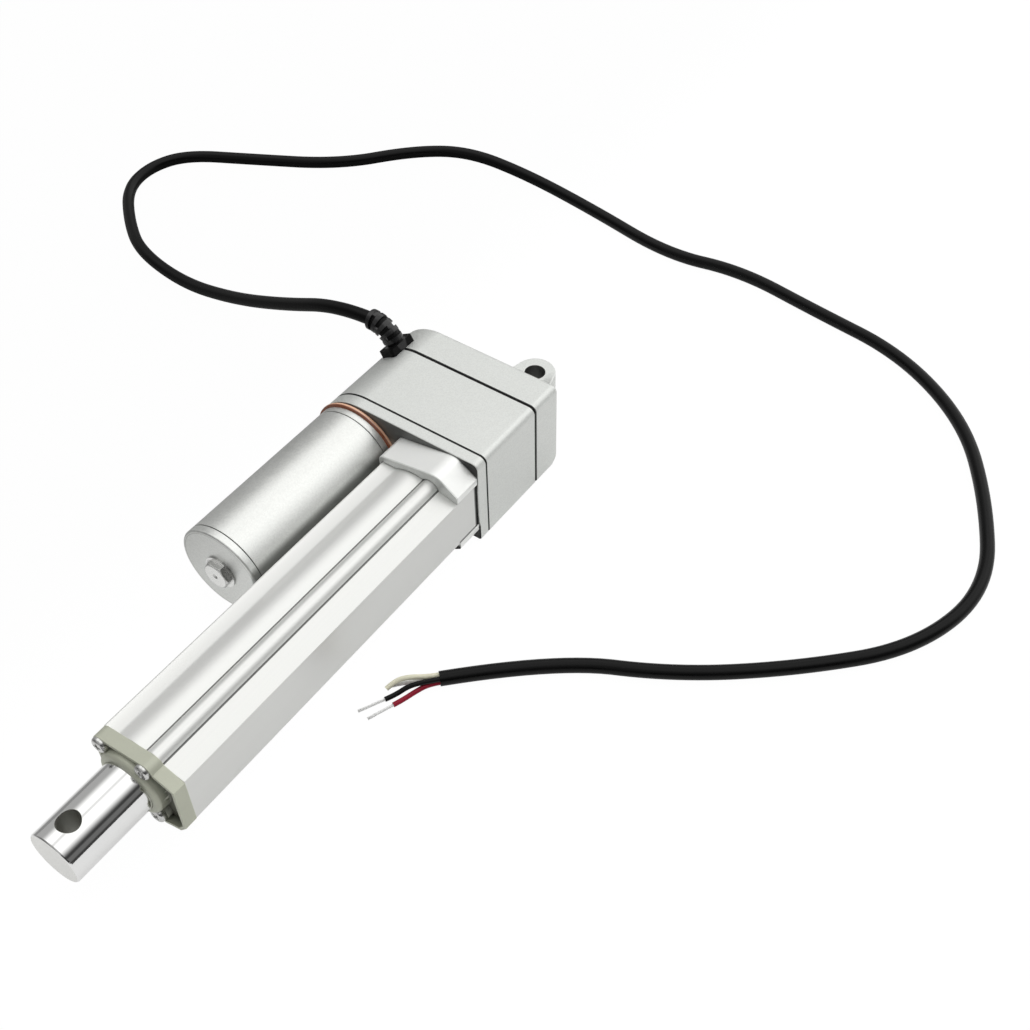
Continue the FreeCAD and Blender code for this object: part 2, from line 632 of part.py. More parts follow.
def relief_hole(label):
    """A cutter for the hole in the castings that the relief's neck passes through."""
    hole = doc.addObject("Part::Cylinder", f"{label}_relief_hole")
    hole.setExpression("Radius", bound("relief_neck + running"))
    hole.setExpression("Height", bound("3 * box_wall"))
    hole.setExpression("Placement.Base.x", bound("rear_seam"))
    reach = "(box_half_height - 2 * box_wall)"
    hole.setExpression("Placement.Base.y",
                       bound(f"-(box_left - box_half_height) - {reach} * cos(relief_lift)"))
    hole.setExpression("Placement.Base.z", bound(f"{reach} * sin(relief_lift)"))
    hole.Placement.Rotation = FreeCAD.Rotation(vector(1, 0, 0), 90 - size("relief_lift"))
    return hole


def rear_cover():
    """The rear casting: rounded block, ear with pivot hole, cavity, bosses and counterbores."""
    body = new_body("rear_cover_casting")
    block = pad(body, "rear_face", BEHIND_REAR_GASKET, box_outline())
    round_edges(body, block, "rear_round", at_station("rear_face"))

    heel = new_sketch(body, "XZ_Plane")
    draw(heel, [
        ("rear_face - cutter_over", "-box_half_height - cutter_over"),
        ("rear_face + rear_low_round", "-box_half_height - cutter_over"),
        ("rear_face + rear_low_round", "-box_half_height", "rear_low_round", "right"),
        ("rear_face", "-box_half_height + rear_low_round"),
        ("rear_face - cutter_over", "-box_half_height + rear_low_round"),
    ])
    heel_cut = body.newObject("PartDesign::Pocket", "heel_pocket")
    heel_cut.Profile = heel
    heel_cut.Midplane = True
    heel_cut.setExpression("Length", bound("2 * (box_left + cutter_over)"))

    ear = new_sketch(body, "XY_Plane")
    lean = "(atan2(ear_base; rear_face) + acos(ear_round / hypot(rear_face; ear_base)))"
    touch_x = f"ear_round * cos{lean}"
    touch_y = f"ear_round * sin{lean}"
    root = "rear_face + rear_wall"
    draw(ear, [
        (root, "-ear_base"),
        (root, "ear_base"),
        ("rear_face", "ear_base"),
        (touch_x, touch_y, "ear_round", "left"),
        ("-ear_round", "0", "ear_round", "left"),
        (touch_x, f"-{touch_y}"),
        ("rear_face", "-ear_base"),
    ])
    lug = body.newObject("PartDesign::Pad", "ear_pad")
    lug.Profile = ear
    lug.Midplane = True
    lug.setExpression("Length", bound("ear_thick"))

    bore = new_sketch(body, "XY_Plane")
    draw_circles(bore, [("0", "0")], "pivot_hole")
    pin_hole = body.newObject("PartDesign::Pocket", "pivot_hole_pocket")
    pin_hole.Profile = bore
    pin_hole.Midplane = True
    pin_hole.setExpression("Length", bound("2 * ear_thick"))

    pocket(body, CAVITY_REAR, BEHIND_REAR_GASKET, cavity_outline())
    pad(body, CAVITY_REAR, BEHIND_REAR_GASKET, centres=case_screw_places(), radius="case_boss")
    pad(body, CAVITY_REAR, f"{CAVITY_REAR} + rear_bush_long", centres=[("0", "0")],
        radius="rear_bush_boss")
    pad(body, CAVITY_REAR, "second_stage_start - gear_overlap - end_play",
        centres=[("-idler_offset", "0")], radius="idler_boss")
    pocket(body, CAVITY_REAR, f"{CAVITY_REAR} + rear_bush_long", centres=[("0", "0")],
           radius="rear_bush_radius + fit")
    pocket(body, CAVITY_REAR, "second_stage_start", centres=[("-idler_offset", "0")],
           radius="idler_pin_radius + fit")
    pocket(body, "rear_face", BEHIND_REAR_GASKET, centres=case_screw_places(),
           radius="case_screw_shank + screw_clearance")
    pocket(body, "rear_face", "rear_face + case_screw_sunk", centres=case_screw_places(),
           radius="case_screw_head + screw_clearance")
    cut_away("rear_cover", body, relief_hole("rear_cover"))


def box_ring(label, start, end, inset):
    """A ring of the gearbox's wall with the four screw bosses: the middle casting or a gasket."""
    body = new_body(f"{label}_ring")
    pad(body, start, end, box_outline(inset))
    pocket(body, start, end, cavity_outline())
    pad(body, start, end, centres=case_screw_places(), radius="case_boss")
    pocket(body, start, end, centres=case_screw_places(), radius="case_screw_shank + screw_clearance")
    return body


def gearbox_rings():
    casting = box_ring("middle_housing", BEFORE_REAR_GASKET, BEHIND_FRONT_GASKET, "0")
    cut_away("middle_housing", casting, relief_hole("middle_housing"))
    rear = box_ring("rear_gasket", BEHIND_REAR_GASKET, BEFORE_REAR_GASKET, "gasket_inset")
    cut_away("rear_gasket", rear, relief_hole("rear_gasket"))
    keep("front_gasket", box_ring("front_gasket", BEHIND_FRONT_GASKET, "plate_rear",
                                  "gasket_inset"))


def jaw_outline(sign):
    """The outside of one jaw, down to the middle of the tube's facet at the right."""
    upper = [
        ("tube_right", "tube_right_up"),
        ("tube_right", "jaw_right_up"),
        ("jaw_peak_to", "jaw_peak_to_up", "jaw_peak_round", "left"),
        ("jaw_peak_from", "jaw_peak_from_up"),
        ("-jaw_left + jaw_left_round", "jaw_left_up", "jaw_left_round", "left"),
        ("-jaw_left", "jaw_left_up - jaw_left_round"),
        ("-jaw_left", "jaw_left_foot"),
        ("0", "jaw_left_foot"),
    ]
    if sign > 0:
        return upper
    other = {"left": "right"}
    return [(u, f"-({v})") + ((rest[0], other[rest[1]]) if rest else ()) for u, v, *rest in upper]


def front_cover():
    """The front casting: plate, two jaws round the tube, bearing seat and screw holes."""
    body = new_body("front_cover")
    plate = pad(body, "plate_rear", "plate_front", box_outline())
    round_edges(body, plate, "plate_round", at_station("plate_front"))
    for sign in TWO_SIDES:
        pad(body, "plate_rear", "jaw_front", jaw_outline(sign))
    pocket(body, "plate_front", "jaw_front", tube_outline("jaw_play"))
    pad(body, BEARING_REAR, "plate_rear", centres=[("0", "0")],
        radius="bearing_outer + bearing_seat_wall")
    pocket(body, BEARING_REAR, "plate_rear", centres=[("0", "0")], radius="bearing_outer + fit")
    through = {
        "bearing_outer - bearing_ring": [("0", "0")],
        "bell_pilot + fit": [("-motor_offset", "0")],
        "tube_screw + screw_clearance": tube_screw_places(),
        "motor_screw + screw_clearance": motor_screw_places(),
    }
    for radius, centres in through.items():
        pocket(body, "plate_rear", "plate_front", centres=centres, radius=radius)
    pocket(body, "plate_rear", SMALL_SCREW_SEAT, radius="small_head + screw_clearance",
           centres=tube_screw_places() + motor_screw_places())
    pocket(body, "plate_rear", "plate_rear + idler_pin_seat",
           centres=[("-idler_offset", "0")], radius="idler_pin_radius + fit")
    pocket(body, "plate_rear", "plate_front - screw_end_wall", centres=case_screw_places(),
           radius="case_screw_shank + screw_clearance")
    keep("front_cover", body)


def tube():
    """The extrusion: barrel, flat left side, two screw beads and the switch channel."""
    body = new_body("outer_tube")
    pad(body, "tube_rear", "tube_front", tube_outline("0"))
    pocket(body, "tube_rear", "tube_front", centres=[("0", "0")], radius="bore")
    pocket(body, "tube_rear", "tube_front", [
        ("channel_left", "-channel_up"), ("channel_right", "-channel_up"),
        ("channel_right", "channel_up"), ("channel_left", "channel_up")])
    pocket(body, "tube_rear", "tube_front", [
        ("bore - cutter_over", "-slot_half"), ("channel_left + cutter_over", "-slot_half"),
        ("channel_left + cutter_over", "slot_half"), ("bore - cutter_over", "slot_half")])
    pocket(body, "tube_rear", "tube_front", centres=tube_screw_places(),
           radius="tube_screw + screw_clearance")
    keep("outer_tube", body)

    seal = new_body("tube_seal")
    pad(seal, "plate_front", "tube_rear", tube_outline("(-seal_inset)"))
    pocket(seal, "plate_front", "tube_rear", centres=[("0", "0")], radius="bore")
    pocket(seal, "plate_front", "tube_rear", centres=tube_screw_places(),
           radius="tube_screw + screw_clearance")
    keep("tube_seal", seal)


def cap_outline(inset):
    """The cap's outline, with every face moved inwards."""
    upper = [
        (f"cap_right - {inset}", f"cap_right_up - {inset} / 2"),
        (f"cap_slope - {inset} / 2", f"cap_slope_up - {inset}", f"cap_peak_round - {inset}", "left"),
        ("cap_peak", f"cap_peak_up - {inset}"),
        ("-cap_left + cap_left_round", f"cap_left_up - {inset}", f"cap_left_round - {inset}", "left"),
        (f"-cap_left + {inset}", "cap_left_up - cap_left_round"),
    ]
    outline = mirrored(upper)
    outline[-2:-1] = [
        (f"cap_slope - {inset} / 2", f"-cap_low_slope_down + {inset}"),
        (f"cap_foot - {inset} / 2", f"-cap_foot_down + {inset}")]
    return outline


def front_cap():
    """The cap: rim, pockets, rod boss with the wiper's groove, and four screw bosses."""
    body = new_body("front_cap")
    pad(body, "tube_front", "cap_rim", cap_outline("0"))
    pocket(body, "tube_front + cap_floor", "cap_rim", cap_outline("cap_wall"))
    revolve(body, [
        ("tube_front", "rod_radius"), ("cap_boss_front", "rod_radius"),
        ("cap_boss_front", "cap_boss_tip - cap_boss_round", "cap_boss_round", "left"),
        ("cap_boss_front - cap_boss_round", "cap_boss_tip"),
        ("tube_front + cap_floor", "cap_boss"), ("tube_front", "cap_boss")])
    pad(body, "tube_front", "cap_screw_seat", centres=tube_screw_places(), radius="cap_screw_boss")
    pocket(body, "cap_screw_seat", "cap_boss_front", centres=tube_screw_places(),
           radius="cap_screw_head + screw_clearance")
    pocket(body, "tube_front", "cap_boss_front", centres=[("0", "0")], radius="rod_radius + 2 * running")
    pocket(body, "cap_boss_front - wiper_lip - wiper_long", "cap_boss_front - wiper_lip",
           centres=[("0", "0")], radius="rod_radius + wiper_thick")
    pocket(body, "tube_front", "cap_screw_seat", centres=tube_screw_places(),
           radius="tube_screw + screw_clearance")
    keep("front_cap", body)

    wiper = ring("cap_boss_front - wiper_lip - wiper_long + fit", "cap_boss_front - wiper_lip - fit",
                 "rod_radius + running", "rod_radius + wiper_thick - fit")
    keep("rod_wiper", turned("rod_wiper", wiper))
    guide = ring("tube_front - guide_long", "tube_front - fit", "rod_radius + running", "bore - fit")
    keep("rod_guide_bush", turned("rod_guide_bush", guide))


def screws(label, places, seat, tip, shank, head, head_long, way=1, dome=None):
    """A group of screws along X. The way is 1 where they are driven from the front."""
    top = f"{seat} + {way} * ({head_long})"
    corners = [(tip, "0"), (top, "0"), (top, head), (seat, head), (seat, shank), (tip, shank)]
    if dome:
        corners[2:3] = [(top, f"{head} - {dome}", dome, "right" if way > 0 else "left"),
                        (f"{top} - {way} * ({dome})", head)]
    pieces = [turned(f"{label}_{n}", corners, across, up) for n, (across, up) in enumerate(places)]
    group(label, pieces)


def all_screws():
    screws("cap_screws", tube_screw_places(), "cap_screw_seat", "cap_screw_seat - cap_screw_long",
           "tube_screw", "cap_screw_head", "cap_screw_head_long", dome="cap_screw_dome")
    screws("housing_screws", case_screw_places(), "rear_face + case_screw_sunk",
           "plate_front - screw_end_wall - screw_end_gap", "case_screw_shank", "case_screw_head",
           "case_screw_sunk - case_screw_below", way=-1)
    screws("tube_screws", tube_screw_places(), SMALL_SCREW_SEAT, "tube_rear + tube_screw_bite",
           "tube_screw", "small_head", "small_head_long", way=-1)
    screws("motor_screws", motor_screw_places(), SMALL_SCREW_SEAT,
           "motor_ring_front + motor_screw_bite", "motor_screw", "small_head", "small_head_long", way=-1)


def rod_and_nut():
    """The rod with its blind bore and cross hole, and the nut that pushes it."""
    rod = new_body("rod")
    nut_front = "nut_rear + nut_long"
    bar = revolve(rod, [
        (nut_front, "rod_bore"), ("rod_bore_end", "rod_bore"), ("rod_bore_end", "0"),
        ("rod_tip", "0"), ("rod_tip", "rod_radius"), (nut_front, "rod_radius")])
    round_edges(rod, bar, "rod_round", at_station("rod_tip"))
    cross = new_sketch(rod, "XY_Plane")
    draw_circles(cross, [("rod_pivot", "0")], "pivot_hole")
    hole = rod.newObject("PartDesign::Pocket", "cross_hole_pocket")
    hole.Profile = cross
    hole.Midplane = True
    hole.setExpression("Length", bound("3 * rod_radius"))
    keep("rod", rod)

    nut = new_body("drive_nut")
    spigot_end = f"{nut_front} + nut_spigot_long"
    thread = "thread_radius + running"
    revolve(nut, [
        ("nut_rear", thread), (spigot_end, thread), (spigot_end, "rod_bore - fit"),
        (nut_front, "rod_bore - fit"), (nut_front, "bore - nut_play"), ("nut_rear", "bore - nut_play")])
    pad(nut, "nut_rear", nut_front, [
        ("rod_bore", "-lug_half"), ("channel_left - nut_play", "-lug_half"),
        ("channel_left - nut_play", "lug_half"), ("rod_bore", "lug_half")])
    keep("drive_nut", nut)


def lead_screw():
    """The screw with its journals and collar, its bearing, bush and clip."""
    rear = f"{CAVITY_REAR} + end_play"
    collar = "plate_rear"
    collar_front = f"{collar} + screw_collar_wide"
    keep("lead_screw", turned("lead_screw", [
        (rear, "0"), ("screw_front", "0"), ("screw_front", "thread_radius"),
        (collar_front, "thread_radius"), (collar_front, "screw_collar"), (collar, "screw_collar"),
        (collar, "journal"), (rear, "journal")]))
    inner = ring(f"{BEARING_REAR} + fit", f"{collar} - fit", "journal + fit", "journal + bearing_ring")
    keep("spindle_bearing_inner", turned("spindle_bearing_inner", inner))
    outer = ring(f"{BEARING_REAR} + fit", f"{collar} - fit", "bearing_outer - bearing_ring", "bearing_outer")
    keep("spindle_bearing_outer", turned("spindle_bearing_outer", outer))
    bush = ring(f"{CAVITY_REAR} + fit", f"{CAVITY_REAR} + rear_bush_long", "journal + running",
                "rear_bush_radius")
    keep("spindle_rear_bush", turned("spindle_rear_bush", bush))
    clip_start = f"{CAVITY_REAR} + rear_bush_long + end_play"
    clip = ring(clip_start, f"{clip_start} + clip_thick", "journal + fit", "clip_radius")
    keep("spindle_clip", turned("spindle_clip", clip))

    balls = []
    pitch = "(bearing_outer + journal) / 2"
    ball = f"({pitch} - journal - bearing_ring - fit)"
    for number in range(int(size("bearing_balls"))):
        angle = f"{number} * 360 / bearing_balls"
        sphere = doc.addObject("Part::Sphere", f"ball_{number}")
        sphere.setExpression("Radius", bound(ball))
        sphere.setExpression("Placement.Base.x", bound(f"{collar} - bearing_wide / 2"))
        sphere.setExpression("Placement.Base.y", bound(f"{pitch} * cos({angle})"))
        sphere.setExpression("Placement.Base.z", bound(f"{pitch} * sin({angle})"))
        balls.append(sphere)
    group("spindle_bearing_balls", balls)


def gear(label, across, start, wide, module, teeth, shift, bore, gap_first, hub=None, hub_end=None):
    """An involute gear on an axis parallel to X, with a tooth or a gap towards +Y."""
    builder = FCWireBuilder()
    count = int(size(teeth))
    involute.CreateExternalGear(builder, size(module), count, size("pressure_angle"), split=False,
                                filletCoeff=0, shiftCoeff=size(shift))
    outline = Part.Face(Part.Wire([curve.toShape() for curve in builder.wire]))
    outline.rotate(vector(0, 0, 0), vector(0, 0, 1), 180 / count if gap_first else 0)
    shape = outline.extrude(vector(0, 0, size(wide)))
    hub_long = size(wide)
    if hub:
        hub_long = size(f"{hub_end} - ({start})")
        shape = shape.fuse(Part.makeCylinder(size(hub), hub_long))
    shape = shape.cut(Part.makeCylinder(size(bore), hub_long))
    feature = doc.addObject("Part::Feature", label)
    feature.Shape = shape.removeSplitter()
    turn = FreeCAD.Rotation(vector(0, 1, 0), vector(0, 0, 1), vector(1, 0, 0), "ZXY")
    feature.Placement = FreeCAD.Placement(vector(size(start), size(across), 0), turn)
    return keep(label, feature)


def gear_train():
    """Motor pinion, idler with its wheel and pinion, and the screw's wheel, in mesh."""
    first_rear = "first_stage_start - gear_overlap"
    first_wide = "first_stage_face + 2 * gear_overlap"
    gear("motor_pinion", "-motor_offset", first_rear, first_wide, "first_module", "pinion_teeth",
         "pinion_shift", "shaft_radius + fit", False)
    gear("idler_wheel", "-idler_offset", "first_stage_start", "first_stage_face", "first_module",
         "wheel_teeth", "wheel_shift", "idler_pin_radius + running", True)
    gear("idler_pinion", "-idler_offset", "second_stage_start - gear_overlap",
         "first_stage_start - second_stage_start + gear_overlap - fit", "second_module", "pinion_teeth",
         "pinion_shift", "idler_pin_radius + running", False)
    gear("spindle_gear", "0", "second_stage_start", "second_stage_face", "second_module",
         "wheel_teeth", "wheel_shift", "journal + fit", True, "hub_radius", BEARING_REAR)
    pin = ring(f"{CAVITY_REAR} + fit", "plate_rear + idler_pin_seat - fit", "0",
               "idler_pin_radius")
    keep("idler_pin", turned("idler_pin", pin, "-idler_offset"))
    spacer = ring("first_stage_start + first_stage_face + end_play", "plate_rear - fit",
                  "idler_pin_radius + fit", "spacer_radius")
    keep("idler_spacer", turned("idler_spacer", spacer, "-idler_offset"))


def motor_housing():
    """The motor's ring, bell, can and end cap, with a fine line at each joint of the skin."""
    axis = "-motor_offset"
    seal = turned("motor_seal_ring", ring("plate_front", "motor_ring_front", "bell_spigot + fit",
                                          "motor_ring_radius"), axis)
    round_edges(seal, seal.Tip, "motor_ring_round",
                lambda point: math.hypot(point.y, point.z) > size("motor_ring_radius") - 0.01)
    keep("motor_seal_ring", seal)

    pilot_rear = "plate_rear + fit"
    seat = "motor_bush + fit"
    bell = turned("motor_front_bell", [
        (pilot_rear, seat), ("bell_front", seat), ("bell_front", "motor_radius - can_wall - fit"),
        ("bell_front", "motor_radius - line_deep"), ("bell_front - line_deep", "motor_radius"),
        ("motor_ring_front", "motor_radius"), ("motor_ring_front", "bell_spigot"),
        ("plate_front", "bell_spigot"), ("plate_front", "bell_pilot"), (pilot_rear, "bell_pilot")], axis)
    tapped = [("0", f"{sign} * motor_screw_up") for sign in TWO_SIDES]
    pocket(bell, "plate_front", "motor_ring_front + motor_screw_bite + motor_screw_spare", centres=tapped,
           radius="motor_screw + screw_clearance")
    keep("motor_front_bell", bell)

    inner = "motor_radius - can_wall"
    keep("motor_can", turned("motor_can", [
        ("bell_front", inner), ("can_front", inner), ("can_front", "motor_radius - line_deep"),
        ("can_front - line_deep", "motor_radius"), ("bell_front + line_deep", "motor_radius"),
        ("bell_front", "motor_radius - line_deep")], axis))

    disc = "motor_end - end_cap_wall"
    cap = turned("motor_end_cap", [
        ("can_front", seat), (disc, seat), (disc, "plug_stem + fit"), ("motor_end", "plug_stem + fit"),
        ("motor_end", "motor_radius"), ("can_front + line_deep", "motor_radius"),
        ("can_front", "motor_radius - line_deep")], axis)
    round_edges(cap, cap.Tip, "motor_end_round",
                lambda point: abs(point.x - size("motor_end")) < 0.001
                and math.hypot(point.y, point.z) > size("plug_flange"))
    keep("motor_end_cap", cap)

    front_bush = ring(pilot_rear, f"{pilot_rear} + front_bush_long", "shaft_radius + running", "motor_bush")
    keep("motor_front_bush", turned("motor_front_bush", front_bush, axis))
    rear_bush = ring("shaft_front - rear_bush_lap", disc, "shaft_radius + running", "motor_bush")
    keep("motor_rear_bush", turned("motor_rear_bush", rear_bush, axis))


def motor_plug():
    """A flanged hex plug with a bevelled face."""
    plug = turned("motor_end_plug", [
        ("motor_end - plug_stem_long", "0"), ("motor_end + plug_flange_thick", "0"),
        ("motor_end + plug_flange_thick", "plug_flange"), ("motor_end", "plug_flange"),
        ("motor_end", "plug_stem"), ("motor_end - plug_stem_long", "plug_stem")], "-motor_offset")
    across = "(plug_across / cos(30) / 2)"
    hexagon = [(f"{across} * cos({60 * n})", f"{across} * sin({60 * n})") for n in range(6)]
    pad(plug, "motor_end + plug_flange_thick", "motor_end + plug_long", hexagon)
    revolve(plug, [
        ("motor_end + plug_long", "plug_face"), ("motor_end + plug_long", "plug_flange"),
        ("motor_end + plug_long - plug_bevel * (plug_flange - plug_face)", "plug_flange")], cut=True)
    revolve(plug, [
        ("motor_end + plug_long - plug_dimple", "0"), ("motor_end + plug_long", "0"),
        ("motor_end + plug_long", "plug_dimple")], cut=True)
    keep("motor_end_plug", plug)


def motor_inside():
    """Magnets and brushes in the can, and the armature that turns between them."""
    axis = "-motor_offset"
    skin = "motor_radius - can_wall - running"
    magnets = []
    for sign in TWO_SIDES:
        arc = turned(f"magnet_{sign}", ring("magnet_start", "magnet_end", f"{skin} - magnet_thick", skin),
                     axis, angle="magnet_angle")
        arc.Placement.Rotation = FreeCAD.Rotation(vector(1, 0, 0), 90 * sign - size("magnet_angle") / 2)
        magnets.append(arc)
    group("motor_magnets", magnets)

    holder = turned("brush_holder", ring("holder_start", "can_front - fit", "holder_bore", skin), axis)
    keep("brush_holder", holder)
    brushes = []
    for sign in TWO_SIDES:
        brush = doc.addObject("Part::Box", f"brush_{sign}")
        inner = "commutator_radius + brush_play"
        outer = "(sqrt(holder_bore^2 - brush_wide^2 / 4) - fit)"
        brush.setExpression("Length", bound("brush_thick"))
        brush.setExpression("Width", bound("brush_wide"))
        brush.setExpression("Height", bound(f"{outer} - ({inner})"))
        brush.setExpression("Placement.Base.x", bound("holder_start - brush_ahead"))
        brush.setExpression("Placement.Base.y", bound("-motor_offset - brush_wide / 2"))
        low = inner if sign > 0 else f"-{outer}"
        brush.setExpression("Placement.Base.z", bound(low))
        brushes.append(brush)
    group("brushes", brushes)

    shaft = ring("first_stage_start - gear_overlap - fit", "shaft_front", "0", "shaft_radius")
    keep("motor_shaft", turned("motor_shaft", shaft, axis))
    commutator = ring("commutator_start", "commutator_end", "shaft_radius + fit", "commutator_radius")
    keep("commutator", turned("commutator", commutator, axis))

    core = turned("armature_core", ring("core_start", "core_end", "shaft_radius + fit", "core_radius"), axis)
    slot = pocket(core, "core_start", "core_end", [
        ("slot_at", "-slot_mouth"), ("core_radius + cutter_over", "-slot_mouth"),
        ("core_radius + cutter_over", "slot_mouth"), ("slot_at", "slot_mouth")])
    pit = pocket(core, "core_start", "core_end", centres=[("slot_at", "0")], radius="slot_radius")
    pattern = core.newObject("PartDesign::PolarPattern", "core_slots_pattern")
    pattern.Originals = [slot, pit]
    pattern.Axis = (slot.Profile[0], ["N_Axis"])
    pattern.Angle = 360
    pattern.setExpression("Occurrences", bound("core_slots"))
    core.Tip = pattern
    keep("armature_core", core)

    ends = []
    for name, start in (("rear", "core_start - winding_long - fit"), ("front", "core_end + fit")):
        coil = turned(f"end_turns_{name}", ring(start, f"{start} + winding_long", "winding_inner",
                                                "winding_outer"), axis)
        round_edges(coil, coil.Tip, "winding_round",
                    lambda point: math.hypot(point.y, point.z) > size("winding_outer") - 0.01)
        ends.append(coil)
    group("armature_windings", ends)


def limit_switches():
    """A circuit board in the tube's side channel with a switch at each end of the stroke."""
    board_right = "channel_right - board_play"
    board_left = f"({board_right} - board_thick)"
    board = new_body("limit_switch_board")
    pad(board, "board_start", "board_end", [
        (board_left, "-board_half"), (board_right, "-board_half"),
        (board_right, "board_half"), (board_left, "board_half")])
    keep("limit_switch_board", board)
    switches = []
    for name, middle in (("rear", "switch_rear"), ("front", "switch_rear + stroke")):
        switch = new_body(f"switch_{name}")
        case_left = f"{board_left} - switch_thick"
        pad(switch, f"{middle} - switch_long / 2", f"{middle} + switch_long / 2", [
            (case_left, "-switch_half"), (f"{board_left} - fit", "-switch_half"),
            (f"{board_left} - fit", "switch_half"), (case_left, "switch_half")])
        switches.append(switch)
    group("limit_switches", switches)


def relief_frame():
    """The relief's own frame: Z out of the round side, X the way that it bends, Y along the gearbox."""
    lift = math.radians(size("relief_lift"))
    out = vector(0, -math.cos(lift), math.sin(lift))
    bend = vector(0, -math.sin(lift), -math.cos(lift))
    return FreeCAD.Rotation(bend, vector(1, 0, 0), out, "ZXY")


def strain_relief():
    """A rubber relief: saddle foot on the casting, neck in the wall and a bent, ribbed sleeve."""
    along, across, up = RELIEF_FOOT
    body = new_body("strain_relief", across, up, along)
    body.Placement.Rotation = relief_frame()
    foot = new_sketch(body, "XY_Plane", "-box_wall")
    wide = "(relief_foot_wide / 2)"
    long = "(relief_foot_long / 2)"
    turn = "relief_foot_round"
    draw(foot, [
        (wide, f"-{long} + {turn}"), (wide, f"{long} - {turn}", turn, "left"),
        (f"{wide} - {turn}", long), (f"-{wide} + {turn}", long, turn, "left"),
        (f"-{wide}", f"{long} - {turn}"), (f"-{wide}", f"-{long} + {turn}", turn, "left"),
        (f"-{wide} + {turn}", f"-{long}"), (f"{wide} - {turn}", f"-{long}", turn, "left")])
    saddle = body.newObject("PartDesign::Pad", "relief_foot_pad")
    saddle.Profile = foot
    saddle.setExpression("Length", bound("box_wall + relief_foot_thick"))

    hollow = new_sketch(body, "XZ_Plane")
    draw_circles(hollow, [("0", "-box_half_height")], "box_half_height + relief_seat")
    under = body.newObject("PartDesign::Pocket", "relief_saddle_pocket")
    under.Profile = hollow
    under.Midplane = True
    under.setExpression("Length", bound("2 * relief_foot_long"))

    stem = new_sketch(body, "XY_Plane", "-box_wall")
    draw_circles(stem, [("0", "0")], "relief_neck")
    neck = body.newObject("PartDesign::Pad", "relief_neck_pad")
    neck.Profile = stem
    neck.setExpression("Length", bound("box_wall + relief_start"))

    bent = {}
    for name, radius, turn in (("core", "relief_core", "relief_turn"),
                               ("rib", "relief_rib", "relief_rib_angle")):
        sketch = new_sketch(body, "XY_Plane", "relief_start")
        draw_circles(sketch, [("0", "0")], radius)
        hinge = Part.LineSegment(vector(size("relief_bend"), -5, 0), vector(size("relief_bend"), 5, 0))
        line = sketch.addGeometry(hinge, True)
        pin_point(sketch, line, 1, "relief_bend", "-5")
        pin_point(sketch, line, 2, "relief_bend", "5")
        sweep = body.newObject("PartDesign::Revolution", f"relief_{name}_sweep")
        sweep.Profile = sketch
        sweep.ReferenceAxis = (sketch, ["Axis0"])
        sweep.setExpression("Angle", bound(turn))
        bent[name] = sweep
    ribs = body.newObject("PartDesign::PolarPattern", "relief_ribs_pattern")
    ribs.Originals = [bent["rib"]]
    ribs.Axis = (bent["rib"].Profile[0], ["Axis0"])
    ribs.setExpression("Angle", bound("relief_turn - relief_rib_angle"))
    ribs.setExpression("Occurrences", bound("relief_ribs"))
    ribs.Mode = "Extent"
    body.Tip = ribs
    keep("strain_relief", body)


def relief_mouth():
    """Where the cable leaves the relief, and in which direction."""
    turn = math.radians(size("relief_turn"))
    bend = size("relief_bend")
    place = vector(bend * (1 - math.cos(turn)), 0, size("relief_start") + bend * math.sin(turn))
    heading = vector(math.sin(turn), 0, math.cos(turn))
    foot = vector(*(size(expression) for expression in RELIEF_FOOT))
    frame = relief_frame()
    return foot + frame.multVec(place), frame.multVec(heading)


def rounded_path(points):
    """Straight runs joined by the largest tangent arcs that the runs allow, and the arcs' radii."""
    share = 0.45
    edges = []
    radii = []
    here = points[0]
    for before, corner, after in zip(points, points[1:], points[2:]):
        back = before - corner
        on = after - corner
        cut = share * min(back.Length, on.Length)
        turn = math.pi - back.getAngle(on)
        radii.append(cut / math.tan(turn / 2))
        enter = corner + back.normalize() * cut
        leave = corner + on.normalize() * cut
        way = (back + on).normalize()
        middle = corner + way * (radii[-1] / math.cos(turn / 2) - radii[-1])
        edges.append(Part.LineSegment(here, enter).toShape())
        edges.append(Part.Arc(enter, middle, leave).toShape())
        here = leave
    edges.append(Part.LineSegment(here, points[-1]).toShape())
    return Part.Wire(edges), radii


def tube_along(label, points, radius):
    """A round solid along a route, with its volume compared with section times length."""
    path, radii = rounded_path(points)
    start = points[1] - points[0]
    section = Part.Wire(Part.Circle(points[0], start, radius).toShape())
    shape = path.makePipeShell([section], True, False)
    right = math.pi * radius ** 2 * path.Length
    if abs(shape.Volume - right) > 0.01 * right:
        raise ValueError(f"{label}: {shape.Volume:.1f} mm3 swept, {right:.1f} expected")
    print(f"{label}: length {path.Length:.1f}, tightest radius {min(radii):.1f}")
    return shape


def feature_from(label, shape):
    feature = doc.addObject("Part::Feature", label)
    feature.Shape = shape
    return keep(label, feature)


def cable_points():
    """The whole route: out of the relief, down to the floor and along it."""
    mouth, heading = relief_mouth()
    floor = -size("box_half_height") + size("cable_radius")
    lying = [vector(x, y, floor + lift) for x, y, lift in CABLE_ROUTE]
    return [mouth, mouth + heading * size("cable_straight")] + lying


